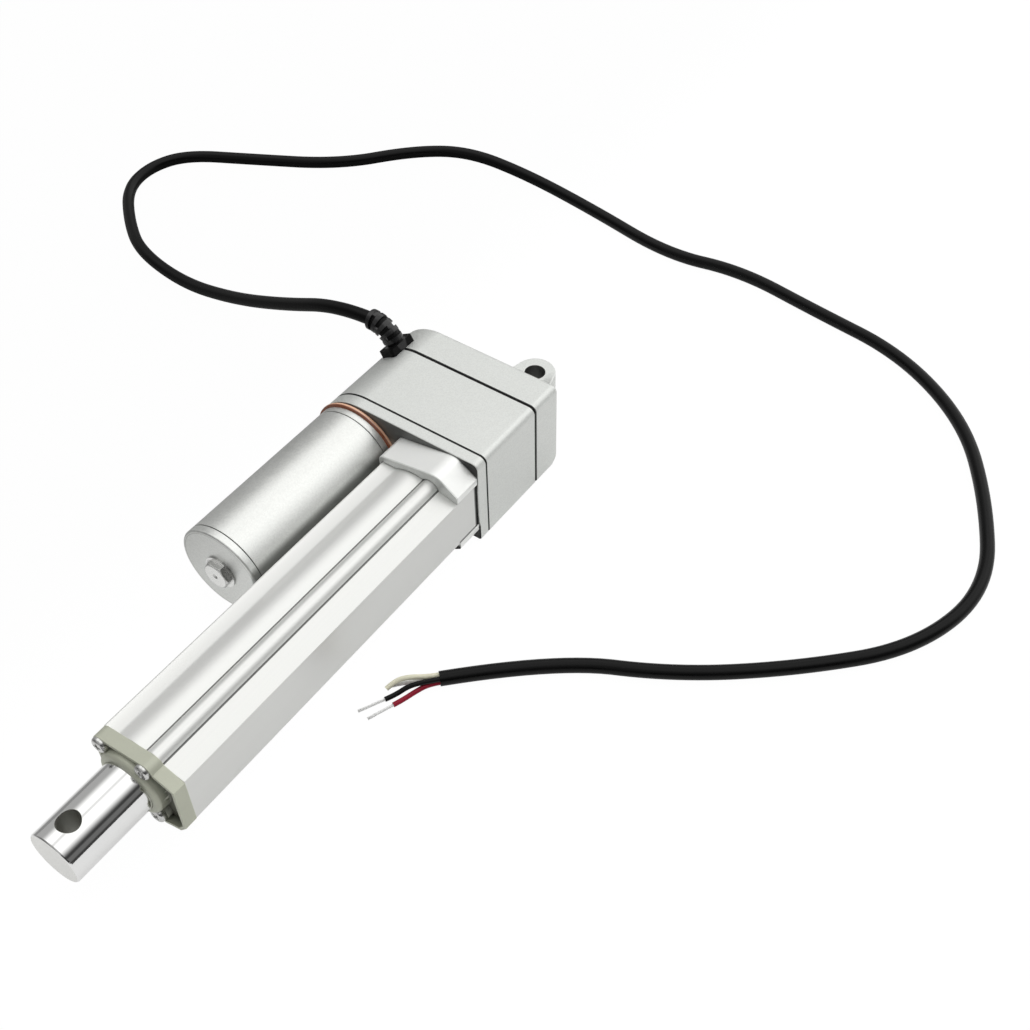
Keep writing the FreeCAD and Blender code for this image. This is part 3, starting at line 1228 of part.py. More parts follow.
def cable_and_wires():
    """The cable on its route, and four wires that fan out of its end."""
    points = cable_points()
    feature_from("cable", tube_along("cable", points, size("cable_radius")))
    end = points[-1]
    along = (points[-1] - points[-2]).normalize()
    up = vector(0, 0, 1)
    aside = up.cross(along)
    lowest = -size("box_half_height") + size("wire_radius")
    spread = size("wire_spread")
    tips = []
    for name, route in WIRE_ROUTES.items():
        angle = math.radians(WIRE_QUARTERS[name])
        start = end + aside * (spread * math.cos(angle)) + up * (spread * math.sin(angle))
        rest = [vector(end.x + x, end.y + y, lowest + lift) for x, y, lift in route]
        way = [start, start + along * size("wire_straight")] + rest
        feature_from(f"wire_{name}", tube_along(f"wire_{name}", way, size("wire_radius")))
        if name in BARE_WIRES:
            last = (way[-1] - way[-2]).normalize()
            tips.append(Part.makeCylinder(size("tip_radius"), size("tip_long"), way[-1], last))
    feature_from("wire_tips", Part.makeCompound(tips))


def check_document():
    """Stop unless every object is sound and every sub-part holds valid solids."""
    bad = [thing.Label for thing in doc.Objects if {"Invalid", "Error"} & set(thing.State)]
    if bad:
        raise ValueError(f"failed objects: {bad}")
    for label, piece in nodes.items():
        shape = piece.Shape
        if shape.isNull() or not shape.isValid() or not shape.Solids:
            raise ValueError(f"{label} has no valid solid")
        print(f"{label}: {len(shape.Solids)} solids, {shape.Volume:.1f} mm3")


def write_parts():
    os.makedirs("parts", exist_ok=True)
    for label, piece in nodes.items():
        piece.Shape.exportStep(f"parts/{label}.step")


def main():
    fill_sheet()
    rear_cover()
    gearbox_rings()
    front_cover()
    tube()
    front_cap()
    all_screws()
    rod_and_nut()
    lead_screw()
    gear_train()
    motor_housing()
    motor_plug()
    motor_inside()
    limit_switches()
    strain_relief()
    cable_and_wires()
    doc.recompute()
    check_document()
    write_parts()


main()
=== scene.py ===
"""Looks of an electric linear actuator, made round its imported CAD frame.

The scene is in metres, and sizes are named in millimetres. +X runs along the stroke to the rod's tip,
+Y from the motor to the tube, +Z up.
"""
import json
import math

import bmesh
import bpy
from mathutils import Matrix, Quaternion, Vector


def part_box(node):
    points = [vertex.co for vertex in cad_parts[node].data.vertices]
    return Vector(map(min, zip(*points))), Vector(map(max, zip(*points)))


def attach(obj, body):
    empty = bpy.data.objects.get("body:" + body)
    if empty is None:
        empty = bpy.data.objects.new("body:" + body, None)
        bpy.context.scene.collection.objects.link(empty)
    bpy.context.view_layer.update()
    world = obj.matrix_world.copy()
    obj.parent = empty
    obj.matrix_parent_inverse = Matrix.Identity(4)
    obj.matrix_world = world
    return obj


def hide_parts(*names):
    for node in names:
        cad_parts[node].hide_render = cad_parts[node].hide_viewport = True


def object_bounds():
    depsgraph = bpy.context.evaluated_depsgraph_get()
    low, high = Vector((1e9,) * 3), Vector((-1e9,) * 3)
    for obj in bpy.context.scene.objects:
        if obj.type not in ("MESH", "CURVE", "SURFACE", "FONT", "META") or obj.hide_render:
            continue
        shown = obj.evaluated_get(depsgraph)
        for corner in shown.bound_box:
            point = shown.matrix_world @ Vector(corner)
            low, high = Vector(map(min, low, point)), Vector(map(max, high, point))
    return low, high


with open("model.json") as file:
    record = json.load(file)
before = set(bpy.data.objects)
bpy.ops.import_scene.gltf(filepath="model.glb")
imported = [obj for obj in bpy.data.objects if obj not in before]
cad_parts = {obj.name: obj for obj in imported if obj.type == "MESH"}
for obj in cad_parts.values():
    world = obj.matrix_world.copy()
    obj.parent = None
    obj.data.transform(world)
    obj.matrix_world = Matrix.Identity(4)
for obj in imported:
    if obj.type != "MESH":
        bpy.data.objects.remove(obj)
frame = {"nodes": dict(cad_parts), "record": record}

cad_low, cad_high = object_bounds()

MM = 0.001
HOUSING = "housing"


def span(node, axis):
    """Where a CAD node begins and ends along one axis, in millimetres."""
    low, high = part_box(node)
    number = "XYZ".index(axis)
    return low[number] / MM, high[number] / MM


# Stations along X, from the gearbox to the rod's tip.
REAR_SEAM = span("rear_gasket", "X")[0]
FRONT_SEAM = sum(span("front_gasket", "X")) / 2
PLATE_FRONT = span("tube_seal", "X")[0]
TUBE_REAR = span("outer_tube", "X")[0]
JAW_FRONT = span("front_cover", "X")[1]
MOTOR_JOINTS = span("motor_can", "X")
MOTOR_END = span("motor_end_cap", "X")[1]
CAP_REAR = span("front_cap", "X")[0]
CAP_FLOOR = 216.0
CAP_RIM = 219.2
ROD_TIP = span("rod", "X")[1]

# The tube's flat side, as a way across, and the height of that side's lower edge.
TUBE_SIDE = span("outer_tube", "Y")[1]
TUBE_SIDE_FOOT = -10.4

# The motor's axis, the radius of the line inside its end's rim, and the way across from which the tube
# shades it.
MOTOR_AXIS = (0, sum(span("motor_shaft", "Y")) / 2, 0)
MOTOR_RIM = 16.8
MOTOR_FLANK = -21.2

# The pivot holes, which run along Z.
PIVOTS = {mount["name"]: Vector(mount["pos_m"]) / MM for mount in frame["record"]["mounts"]}
PIVOT_RADIUS = frame["record"]["mounts"][0]["dims"]["r_mm"]

# Angles between faces, in degrees: joined as flat, eased as sharp, taken as square, and shaded as sharp.
FLAT_ANGLE = 0.4
SHARP_ANGLE = 32
SQUARE_ANGLE = 60
SHADE_ANGLE = 40

# The view: where the camera stands and where it looks.
CAMERA_PLACE = Vector((344.8, 240.652, 387.877)) * MM
CAMERA_AZIMUTH = math.radians(126.130)
CAMERA_ELEVATION = math.radians(47.832)
CAMERA_ROLL = math.radians(-1.2365)
CAMERA_LENS = 50.666

# The cable's route from the relief to its cut end, in millimetres.
CABLE_RADIUS = 2.7
CABLE_ROUTE = [
    (28.15, -56.7, 25.92), (28.15, -73.68, 25.03), (26.5, -106.0, 9.1), (23.0, -140.0, -5.9),
    (19.0, -176.0, -16.4), (13.0, -209.0, -16.9), (0.0, -229.0, -16.9), (-18.0, -248.5, -16.9),
    (-37.0, -252.5, -16.9), (-54.5, -244.5, -16.9), (-69.0, -217.0, -16.9), (-90.0, -178.0, -16.9),
    (-119.0, -155.0, -16.9), (-134.0, -132.0, -16.9), (-134.0, -97.0, -16.9), (-128.0, -55.0, -16.9),
    (-119.0, -10.0, -16.9), (-127.0, 23.0, -16.9), (-121.0, 63.0, -16.9), (-116.0, 105.0, -16.9),
    (-93.0, 143.0, -16.9), (-58.0, 167.0, -16.9), (-18.0, 185.0, -16.9), (21.0, 175.0, -16.9),
    (52.0, 145.0, -16.9), (78.0, 112.0, -16.9), (96.0, 75.0, -16.9), (125.0, 46.8, -16.9),
]

# The wires that fan out of the cable's end, in millimetres, and the bare strands on two of them.
WIRE_RADIUS = 0.9
WIRE_ROUTES = {
    "yellow": [(124.35, 46.13, -15.97), (127.22, 43.34, -15.97), (131.5, 38.1, -15.3),
               (135.1, 35.2, -15.9), (138.6, 34.3, -17.1)],
    "black": [(125.65, 47.47, -15.97), (128.52, 44.68, -15.97), (133.4, 40.2, -16.5),
              (138.0, 37.8, -18.4), (141.6, 36.0, -18.4)],
    "red": [(125.65, 47.47, -17.83), (128.52, 44.68, -17.83), (133.3, 42.3, -18.7),
            (138.0, 41.0, -18.7), (141.6, 39.6, -18.7)],
    "white": [(124.35, 46.13, -17.83), (127.22, 43.34, -17.83), (130.3, 39.2, -18.7),
              (133.2, 35.8, -18.7), (136.0, 33.6, -18.7)],
}
BARE_WIRES = ("black", "red")
TIP_LONG = 10.0
TIP_RADIUS = 0.5

# Screws, in millimetres: their places across and up, and the stations where their heads sit.
CAP_SCREW_PLACES = [(7.6, 12.3), (7.6, -12.3), (-11.2, 10.9), (-11.2, -10.9)]
CAP_SCREW_SEAT = 218.3
CASE_SCREW_PLACES = [(13.6, 13.3), (13.6, -13.3), (-47.2, 6.6), (-47.2, -6.6)]
CASE_SCREW_SEAT = 17.3

# The strain relief, in millimetres: its foot, the way out of the casting, the way it bends, the straight
# length before the bend, and the bend's radius and middle.
RELIEF_FOOT = Vector((28.15, -44.6, 16.974))
RELIEF_OUT = Vector((0.0, -0.5, 0.866))
RELIEF_BEND_WAY = Vector((0.0, -0.866, -0.5))
RELIEF_SIDE = Vector((1.0, 0.0, 0.0))
RELIEF_START = 4.0
RELIEF_BEND = 11.0
RELIEF_MIDDLE = RELIEF_FOOT + RELIEF_OUT * RELIEF_START + RELIEF_BEND_WAY * RELIEF_BEND

# The radii of its core and ribs, the angles from rib to rib and over one rib, and the gaps between ribs.
RELIEF_CORE = 3.2
RELIEF_RIB = 4.15
RELIEF_RIB_PITCH = 14.0
RELIEF_RIB_ANGLE = 7.0
RELIEF_GAPS = 4

# The crest of the jaws, across and up: where it leaves the long slope, where the slopes would meet,
# and where it joins the short slope. The round of the casting has this centre and radius. A point this
# near to a height lies on it.
CREST_FROM = (6.6, 18.9)
CREST_CORNER = (10.44, 19.57)
CREST_TO = (12.3, 18.3)
CREST_CENTRE = (8.996, 14.284)
CREST_RADIUS = 5.2
CREST_NEAR = 0.05

# The notch between the jaws' short slope and the plate, where the painted shade on the plate is deepest.
NOTCH_MIDDLE = (0, 16.6, 17.0)

# The shader's sockets in plain words.
SURFACE_SOCKETS = {
    "colour": "Base Color",
    "metal": "Metallic",
    "roughness": "Roughness",
    "normal": "Normal",
    "coat": "Coat Weight",
    "coat_roughness": "Coat Roughness",
    "specular": "Specular IOR Level",
}


class Signal:
    """A node's output that takes part in arithmetic. Each operator adds a Math node."""

    def __init__(self, finish, socket):
        self.finish = finish
        self.socket = socket

    def __add__(self, other):
        return self.finish.maths("ADD", self, other)

    def __radd__(self, other):
        return self.finish.maths("ADD", other, self)

    def __sub__(self, other):
        return self.finish.maths("SUBTRACT", self, other)

    def __rsub__(self, other):
        return self.finish.maths("SUBTRACT", other, self)

    def __mul__(self, other):
        return self.finish.maths("MULTIPLY", self, other)

    def __rmul__(self, other):
        return self.finish.maths("MULTIPLY", other, self)

    def within(self, middle, half, fade):
        """1 where the value lies near the middle, 0 elsewhere."""
        away = self.finish.maths("ABSOLUTE", self - middle)
        return self.finish.fall(away, half, half + fade, "SMOOTHSTEP")


class Finish:
    """A node tree under construction, of a material or of the world."""

    def __init__(self, owner):
        self.owner = owner
        owner.use_nodes = True
        self.tree = owner.node_tree
        self.tree.nodes.clear()

    def add(self, kind, settings=None, inputs=None):
        """A node of this kind, its settings made first, then its sockets' values or links."""
        made = self.tree.nodes.new(kind)
        for name, value in (settings or {}).items():
            setattr(made, name, value)
        for name, value in (inputs or {}).items():
            if isinstance(value, Signal):
                self.tree.links.new(value.socket, made.inputs[name])
            else:
                made.inputs[name].default_value = value
        return made

    def node(self, kind, settings=None, inputs=None, output=0):
        """The output of a new node."""
        return Signal(self, self.add(kind, settings, inputs).outputs[output])

    def maths(self, operation, *terms):
        return self.node("ShaderNodeMath", {"operation": operation}, dict(enumerate(terms)))

    def place(self, stretch=(1, 1, 1)):
        """Coordinates on the piece, stretched for a pattern."""
        coordinates = self.node("ShaderNodeTexCoord", output="Object")
        return self.node("ShaderNodeMapping", {}, {"Vector": coordinates, "Scale": stretch})

    def noise(self, where, scale, detail=2.0):
        return self.node("ShaderNodeTexNoise", {}, {"Vector": where, "Scale": scale, "Detail": detail})

    def cells(self, where, scale):
        """A random grey for each small cell."""
        colour = self.node("ShaderNodeTexVoronoi", {}, {"Vector": where, "Scale": scale}, "Color")
        return self.node("ShaderNodeSeparateColor", {}, {"Color": colour}, "Red")

    def marked(self, name):
        """1 on the faces that carry this mark, 0 elsewhere."""
        return self.node("ShaderNodeAttribute", {"attribute_name": name}, output="Fac")

    def measure(self, axis):
        """The way along one axis in millimetres."""
        coordinates = self.node("ShaderNodeTexCoord", output="Object")
        return self.node("ShaderNodeSeparateXYZ", {}, {"Vector": coordinates}, axis) * (1 / MM)

    def away(self, centre, keep):
        """Millimetres from a line through a centre. Keep has a 0 for the line's own axis."""
        coordinates = self.node("ShaderNodeTexCoord", output="Object")
        shifted = self.node("ShaderNodeVectorMath", {"operation": "SUBTRACT"}, {
            0: coordinates, 1: Vector(centre) * MM})
        flat = self.node("ShaderNodeVectorMath", {"operation": "MULTIPLY"}, {0: shifted, 1: keep})
        return self.node("ShaderNodeVectorMath", {"operation": "LENGTH"}, {0: flat}, "Value") * (1 / MM)

    def in_bore(self, centre):
        """1 on the wall of a pivot hole along Z, 0 elsewhere."""
        return self.fall(self.away(centre, (1, 1, 0)), PIVOT_RADIUS + 0.05, PIVOT_RADIUS + 0.15)

    def rise(self, value, low, high, kind="LINEAR"):
        """0 up to the low value, 1 from the high value on."""
        return self.remap(value, low, high, 0.0, 1.0, kind)

    def fall(self, value, low, high, kind="LINEAR"):
        """1 up to the low value, 0 from the high value on."""
        return self.remap(value, low, high, 1.0, 0.0, kind)

    def remap(self, value, low, high, to_low, to_high, kind="LINEAR"):
        return self.node("ShaderNodeMapRange", {"interpolation_type": kind}, {
            "Value": value, "From Min": low, "From Max": high, "To Min": to_low, "To Max": to_high})

    def blend(self, amount, first, second):
        """Two colours mixed by an amount. The node's colours go in at 6 and 7 and come out at 2."""
        return self.node("ShaderNodeMix", {"data_type": "RGBA"}, {0: amount, 6: first, 7: second}, 2)

    def bump(self, height, depth, strength):
        """A relief of this depth in millimetres."""
        return self.node("ShaderNodeBump", {}, {
            "Height": height, "Distance": depth * MM, "Strength": strength})

    def surface(self, **sockets):
        """End the tree in a surface whose sockets are named in plain words."""
        inputs = {SURFACE_SOCKETS[name]: value for name, value in sockets.items()}
        shader = self.node("ShaderNodeBsdfPrincipled", {}, inputs)
        self.add("ShaderNodeOutputMaterial", {}, {"Surface": shader})
        return self.owner


def new_finish(name):
    return Finish(bpy.data.materials.new(name))


def shade(colour, factor):
    """A colour made lighter or darker."""
    return tuple(min(part * factor, 1.0) for part in colour) + (1.0,)


def sprayed_silver(name, colour, flake, metal, roughness, touches):
    """Silver spray on metal: fine flakes, slow clouds, a painted highlight on eased edges and the touches
    of its piece.

    Each touch is an amount, which changes over the piece, and a factor on the colour. The touches paint
    light and shade, and dark joint lines.
    """
    paint = new_finish(name)
    where = paint.place()
    flakes = paint.cells(where, flake)
    clouds = paint.noise(where, scale=45.0, detail=3.0)
    mottled = paint.blend(0.7 * flakes + 0.3 * clouds, shade(colour, 0.92), shade(colour, 1.08))
    # Painted highlight: faces on eased edges are lighter.
    tint = paint.blend(0.35 * paint.marked("edge"), mottled, shade(colour, 1.2))
    for amount, factor in touches(paint):
        tint = paint.blend(amount, tint, shade(colour, factor))
    peel = 0.6 * flakes + paint.noise(where, scale=1300.0)
    return paint.surface(
        colour=tint, metal=metal,
        roughness=paint.remap(flakes, 0, 1, roughness - 0.05, roughness + 0.05),
        normal=paint.bump(peel, depth=0.02, strength=0.3))


def casting_touches(paint):
    """Painted light on the jaws, painted shade behind and under them and in the bore, and dark joints."""
    station = paint.measure("X")
    up = paint.measure("Z")
    high = paint.rise(paint.maths("ABSOLUTE", up), 6, 12)
    # Painted shade on the plate's face, deepest round the notch behind the jaws.
    face = station.within(PLATE_FRONT, 0.1, 0.1) * high
    notch = paint.fall(paint.away(NOTCH_MIDDLE, (0, 1, 1)), 2.5, 5.5, "SMOOTHSTEP")
    # Painted shadow under the lower jaw's front and the plate's front.
    under = paint.fall(up, TUBE_SIDE_FOOT - 2, TUBE_SIDE_FOOT)
    jaw_front = station.within(JAW_FRONT, 0.3, 0.2)
    plate_front = station.within(PLATE_FRONT, 0.3, 0.2)
    # Painted light on the jaws.
    lit_jaws = station.within((PLATE_FRONT + JAW_FRONT) / 2, (JAW_FRONT - PLATE_FRONT) / 2 - 0.7, 0.3)
    return [
        (lit_jaws, 1.28),
        (face * (0.82 + 0.14 * notch), 0.05),
        (under * paint.maths("MAXIMUM", jaw_front, plate_front), 0.02),
        (0.85 * station.within(FRONT_SEAM, 0.4, 0.1), 0.06),
        # Marked creases: dark joints on the seams and painted shade under the jaws' rims.
        (0.85 * paint.marked("shade_and_seam"), 0.06),
        # Painted shade in the pivot hole.
        (0.9 * paint.in_bore(PIVOTS["rear_pivot"]), 0.12),
    ]


def motor_touches(paint):
    """Dark joint lines, a line inside the end's rim and painted shade on the flank beside the tube."""
    station = paint.measure("X")
    lines = [(0.85 * station.within(joint, 0.14, 0.08), 0.1) for joint in MOTOR_JOINTS]
    # Painted shade on the flank that faces the tube.
    flank_shade = 0.7 * paint.rise(paint.measure("Y"), MOTOR_FLANK, MOTOR_FLANK + 1.6, "SMOOTHSTEP")
    end = 0.5 * paint.rise(station, MOTOR_END - 0.3, MOTOR_END - 0.1)
    rim = end * paint.away(MOTOR_AXIS, (0, 1, 1)).within(MOTOR_RIM, 0.05, 0.15)
    return [*lines, (rim, 0.4), (flank_shade, 0.15)]


def drawn_aluminium():
    """Satin anodised extrusion with fine draw lines, and painted shade in its inner corners and along the
    jaws.

    Painted light makes it paler on the motor's side, and painted shade darker on its flat side.
    """
    skin = new_finish("drawn_aluminium")
    station = skin.measure("X")
    across = skin.measure("Y")
    lines = skin.noise(skin.place((4, 900, 900)), scale=1.0, detail=3.0)
    grain = skin.noise(skin.place(), scale=2200.0, detail=1.0)
    colour = (0.86, 0.865, 0.847)
    tint = skin.blend(0.6 * lines + 0.4 * grain, shade(colour, 0.96), shade(colour, 1.04))
    # Painted light on the motor's side and painted shade on the flat side.
    motor_side_light = skin.fall(across, -14, 4)
    flat_side_shade = skin.rise(across, TUBE_SIDE - 0.2, TUBE_SIDE - 0.05)
    tint = skin.blend(motor_side_light, tint, shade(colour, 1.16))
    tint = skin.blend(flat_side_shade, tint, shade(colour, 0.88))
    # Painted shade: a line at the tube's rear end, a line along the lower jaw, and the marked inner
    # corners.
    rear_line = skin.fall(station, TUBE_REAR + 0.4, TUBE_REAR + 0.6)
    in_jaws = skin.fall(station, JAW_FRONT - 0.3, JAW_FRONT + 0.3)
    foot_line = in_jaws * skin.measure("Z").within(TUBE_SIDE_FOOT, 0.8, 0.2)
    painted_shade = skin.maths("MAXIMUM", rear_line + foot_line, skin.marked("shade_and_seam"))
    tint = skin.blend(0.85 * painted_shade, tint, shade(colour, 0.1))
    return skin.surface(
        colour=tint, metal=0.6, roughness=skin.remap(lines, 0.2, 0.8, 0.31, 0.41),
        normal=skin.bump(lines + 0.4 * grain, depth=0.02, strength=0.22))


def cast_grey():
    """Greenish grey casting, finely pitted, with painted highlights on edges and painted shade in
    pockets.
    """
    skin = new_finish("cast_grey")
    where = skin.place()
    pits = skin.noise(where, scale=1500.0, detail=3.0)
    clouds = skin.noise(where, scale=120.0)
    colour = (0.55, 0.565, 0.465)
    tint = skin.blend(0.5 * pits + 0.5 * clouds, shade(colour, 0.9), shade(colour, 1.1))
    # Painted highlight on the eased outer edges.
    tint = skin.blend(0.4 * skin.marked("edge"), tint, shade(colour, 1.3))
    # Painted shade in the pockets, growing deeper towards their floors.
    pocket_shade = 0.9 * skin.fall(skin.measure("X"), CAP_FLOOR, CAP_RIM)
    tint = skin.blend(pocket_shade * skin.marked("shade_and_seam"), tint, shade(colour, 0.12))
    return skin.surface(
        colour=tint, metal=0.25, roughness=skin.remap(pits, 0.2, 0.8, 0.38, 0.52),
        normal=skin.bump(pits, depth=0.04, strength=0.3))


def bright_chrome():
    """Polished hard chrome with faint wiping marks, a ground tip and a plain bore."""
    plate = new_finish("bright_chrome")
    marks = plate.noise(plate.place((6, 700, 700)), scale=1.0, detail=4.0)
    haze = plate.noise(plate.place(), scale=90.0)
    tip = plate.rise(plate.measure("X"), ROD_TIP - 0.1, ROD_TIP - 0.02)
    bore = plate.in_bore(PIVOTS["rod_pivot"])
    tint = plate.blend(haze, (0.79, 0.79, 0.785, 1.0), (0.84, 0.84, 0.84, 1.0))
    tint = plate.blend(tip, tint, (0.78, 0.78, 0.76, 1.0))
    tint = plate.blend(bore, tint, (0.42, 0.42, 0.39, 1.0))
    polish = plate.remap(0.6 * marks + 0.4 * haze, 0.3, 0.7, 0.05, 0.1)
    return plate.surface(colour=tint, metal=1.0, roughness=polish + 0.25 * tip + 0.5 * bore)


def turned_metal(name, colour, roughness, metal=1.0):
    """Machined or plated metal with a fine random grain, and painted highlight and shade on marked faces.
    """
    plate = new_finish(name)
    where = plate.place()
    grain = plate.noise(where, scale=2600.0, detail=3.0)
    haze = plate.noise(where, scale=160.0)
    tint = plate.blend(0.5 * grain + 0.5 * haze, shade(colour, 0.8), shade(colour, 1.15))
    # Painted highlight on faces marked edge.
    tint = plate.blend(0.9 * plate.marked("edge"), tint, shade(colour, 1.45))
    # Painted shade on faces marked as creases.
    tint = plate.blend(0.6 * plate.marked("shade_and_seam"), tint, shade(colour, 0.15))
    return plate.surface(
        colour=tint, metal=metal,
        roughness=plate.remap(grain, 0.2, 0.8, roughness - 0.07, roughness + 0.1),
        normal=plate.bump(grain, depth=0.03, strength=0.1))


def seal_rubber():
    """Dull black rubber of the seals, with glossy ribs painted lighter where it guards the cable."""
    skin = new_finish("black_rubber")
    where = skin.place()
    pebbles = skin.noise(where, scale=900.0)
    dust = skin.noise(where, scale=70.0, detail=4.0)
    aside = skin.measure("X") - RELIEF_MIDDLE.x
    off = skin.away(RELIEF_MIDDLE, (0, 1, 1)) - RELIEF_BEND
    reach = skin.maths("SQRT", aside * aside + off * off)
    ribs = reach.within((RELIEF_CORE + RELIEF_RIB) / 2 + 0.2, 0.5, 0.2)
    speckle = 0.5 * pebbles + 0.5 * dust
    tint = skin.blend(speckle, (0.003, 0.003, 0.003, 1.0), (0.007, 0.007, 0.0075, 1.0))
    # Painted light on the relief's ribs, so that the core between them reads as shade.
    tint = skin.blend(ribs, tint, (0.011, 0.011, 0.012, 1.0))
    return skin.surface(
        colour=tint, roughness=skin.remap(dust, 0.25, 0.75, 0.43, 0.58),
        normal=skin.bump(pebbles, depth=0.04, strength=0.35),
        specular=0.12, coat=0.9 * ribs, coat_roughness=0.2)


def glossy_seal():
    """Orange ring of the motor, with a painted highlight on the side of the gearbox."""
    skin = new_finish("orange_seal")
    where = skin.place()
    dust = skin.noise(where, scale=70.0, detail=4.0)
    # Painted highlight along the ring's side next to the gearbox.
    painted_highlight = skin.measure("X").within(PLATE_FRONT + 0.6, 0.4, 0.5)
    tint = skin.blend(dust, (0.19, 0.048, 0.015, 1.0), (0.28, 0.078, 0.027, 1.0))
    tint = skin.blend(painted_highlight, tint, (1.0, 0.6, 0.41, 1.0))
    return skin.surface(
        colour=tint, roughness=skin.remap(dust, 0.25, 0.75, 0.14, 0.22),
        normal=skin.bump(skin.noise(where, scale=1200.0), depth=0.02, strength=0.35), specular=0.9)


def moulded(name, colour, roughness, pebble=900.0, depth=0.04, specular=0.4):
    """Moulded plastic with a fine pebbled skin."""
    skin = new_finish(name)
    where = skin.place()
    pebbles = skin.noise(where, scale=pebble)
    dust = skin.noise(where, scale=70.0, detail=4.0)
    tint = skin.blend(0.4 * pebbles + 0.6 * dust, shade(colour, 0.75), shade(colour, 1.3))
    return skin.surface(
        colour=tint, roughness=skin.remap(dust, 0.25, 0.75, roughness - 0.07, roughness + 0.08),
        normal=skin.bump(pebbles, depth, strength=0.35), specular=specular)


def insulation(name, colour, specular=0.4):
    """The coloured plastic on a wire."""
    return moulded(name, colour, roughness=0.32, depth=0.02, specular=specular)


FINISHES = {
    "cast_silver": sprayed_silver("cast_silver", (0.775, 0.79, 0.77), flake=2600.0, metal=0.75,
                                  roughness=0.5, touches=casting_touches),
    "motor_silver": sprayed_silver("motor_silver", (0.82, 0.83, 0.81), flake=2000.0, metal=0.9,
                                   roughness=0.43, touches=motor_touches),
    "tube_aluminium": drawn_aluminium(),
    "cap_grey": cast_grey(),
    "rod_chrome": bright_chrome(),
    "zinc_steel": turned_metal("bright_zinc", (0.66, 0.66, 0.65), roughness=0.24),
    "gear_steel": turned_metal("gear_steel", (0.5, 0.5, 0.49), roughness=0.32),
    "tinned": turned_metal("tinned_strands", (0.95, 0.95, 0.94), roughness=0.38, metal=0.35),
    "bronze": turned_metal("sintered_bronze", (0.5, 0.34, 0.16), roughness=0.45),
    "copper": turned_metal("enamelled_copper", (0.62, 0.28, 0.13), roughness=0.28),
    "magnet_grey": turned_metal("ferrite", (0.16, 0.16, 0.165), roughness=0.5, metal=0.2),
    "ring_orange": glossy_seal(),
    "black_rubber": seal_rubber(),
    "black_plastic": moulded("black_plastic", (0.035, 0.035, 0.037), roughness=0.42),
    "white_plastic": moulded("white_plastic", (0.8, 0.79, 0.75), roughness=0.4, pebble=600.0, depth=0.03),
    "carbon": moulded("pressed_carbon", (0.05, 0.05, 0.05), roughness=0.6, pebble=1800.0, depth=0.06),
    "board_green": moulded("lacquered_board", (0.03, 0.2, 0.07), roughness=0.25, pebble=300.0,
                           depth=0.02, specular=0.5),
    "cable_black": moulded("cable_sheath", (0.003, 0.003, 0.0032), roughness=0.3, pebble=1100.0,
                           depth=0.02, specular=0.16),
    "wire_yellow": insulation("yellow_insulation", (0.96, 0.9, 0.64)),
    "wire_white": insulation("white_insulation", (0.86, 0.86, 0.84)),
    "wire_black": insulation("black_insulation", (0.006, 0.006, 0.0065), specular=0.15),
    "wire_red": insulation("red_insulation", (0.3, 0.01, 0.03), specular=0.2),
}

# Which finish and which body each CAD node has.
SLOT_OF = {part["node"]: part["material_slot"] for part in frame["record"]["subparts"]}
BODIES = frame["record"]["behaviour"]["bodies"]


def add_object(name, data):
    """A new object in the scene."""
    thing = bpy.data.objects.new(name, data)
    bpy.context.scene.collection.objects.link(thing)
    return thing


def settle(piece, slot, body, stands_for):
    """Give a piece its finish and its body, and hide what it stands for."""
    piece.data.materials.clear()
    piece.data.materials.append(FINISHES[slot])
    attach(piece, body)
    if stands_for:
        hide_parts(*stands_for)


def new_piece(name, mesh, slot, body, stands_for):
    """A finished mesh as a piece of the object."""
    piece = add_object(name, mesh)
    settle(piece, slot, body, stands_for)
    return piece


def body_of(node):
    return next(body for body, members in BODIES.items() if node in members)


def plain_mesh(source):
    """What an object looks like with its modifiers, as a mesh of its own. The object itself goes."""
    graph = bpy.context.evaluated_depsgraph_get()
    mesh = bpy.data.meshes.new_from_object(source.evaluated_get(graph), depsgraph=graph)
    bpy.data.objects.remove(source)
    return mesh


def smooth(mesh, sharp_degrees):
    """Shade a mesh smoothly, apart from its sharp edges."""
    for face in mesh.polygons:
        face.use_smooth = True
    mesh.set_sharp_from_angle(angle=math.radians(sharp_degrees))


def smooth_mesh(shell, name, sharp_degrees=SHADE_ANGLE):
    """Turn a shell under construction into a smooth mesh."""
    mesh = bpy.data.meshes.new(name)
    shell.to_mesh(mesh)
    shell.free()
    smooth(mesh, sharp_degrees)
    return mesh


def ease(shell, edges, radius):
    """Round edges by a radius in millimetres. Gives the new faces."""
    eased = bmesh.ops.bevel(shell, geom=edges, offset=radius * MM, offset_type="OFFSET", segments=2,
                            profile=0.5, affect="EDGES", clamp_overlap=False)
    return eased["faces"]


def is_sharp(edge):
    return edge.is_manifold and edge.calc_face_angle() > math.radians(SHARP_ANGLE)


def stands_out(edge):
    return edge.is_convex


def lies_in_corner(edge):
    return not edge.is_convex


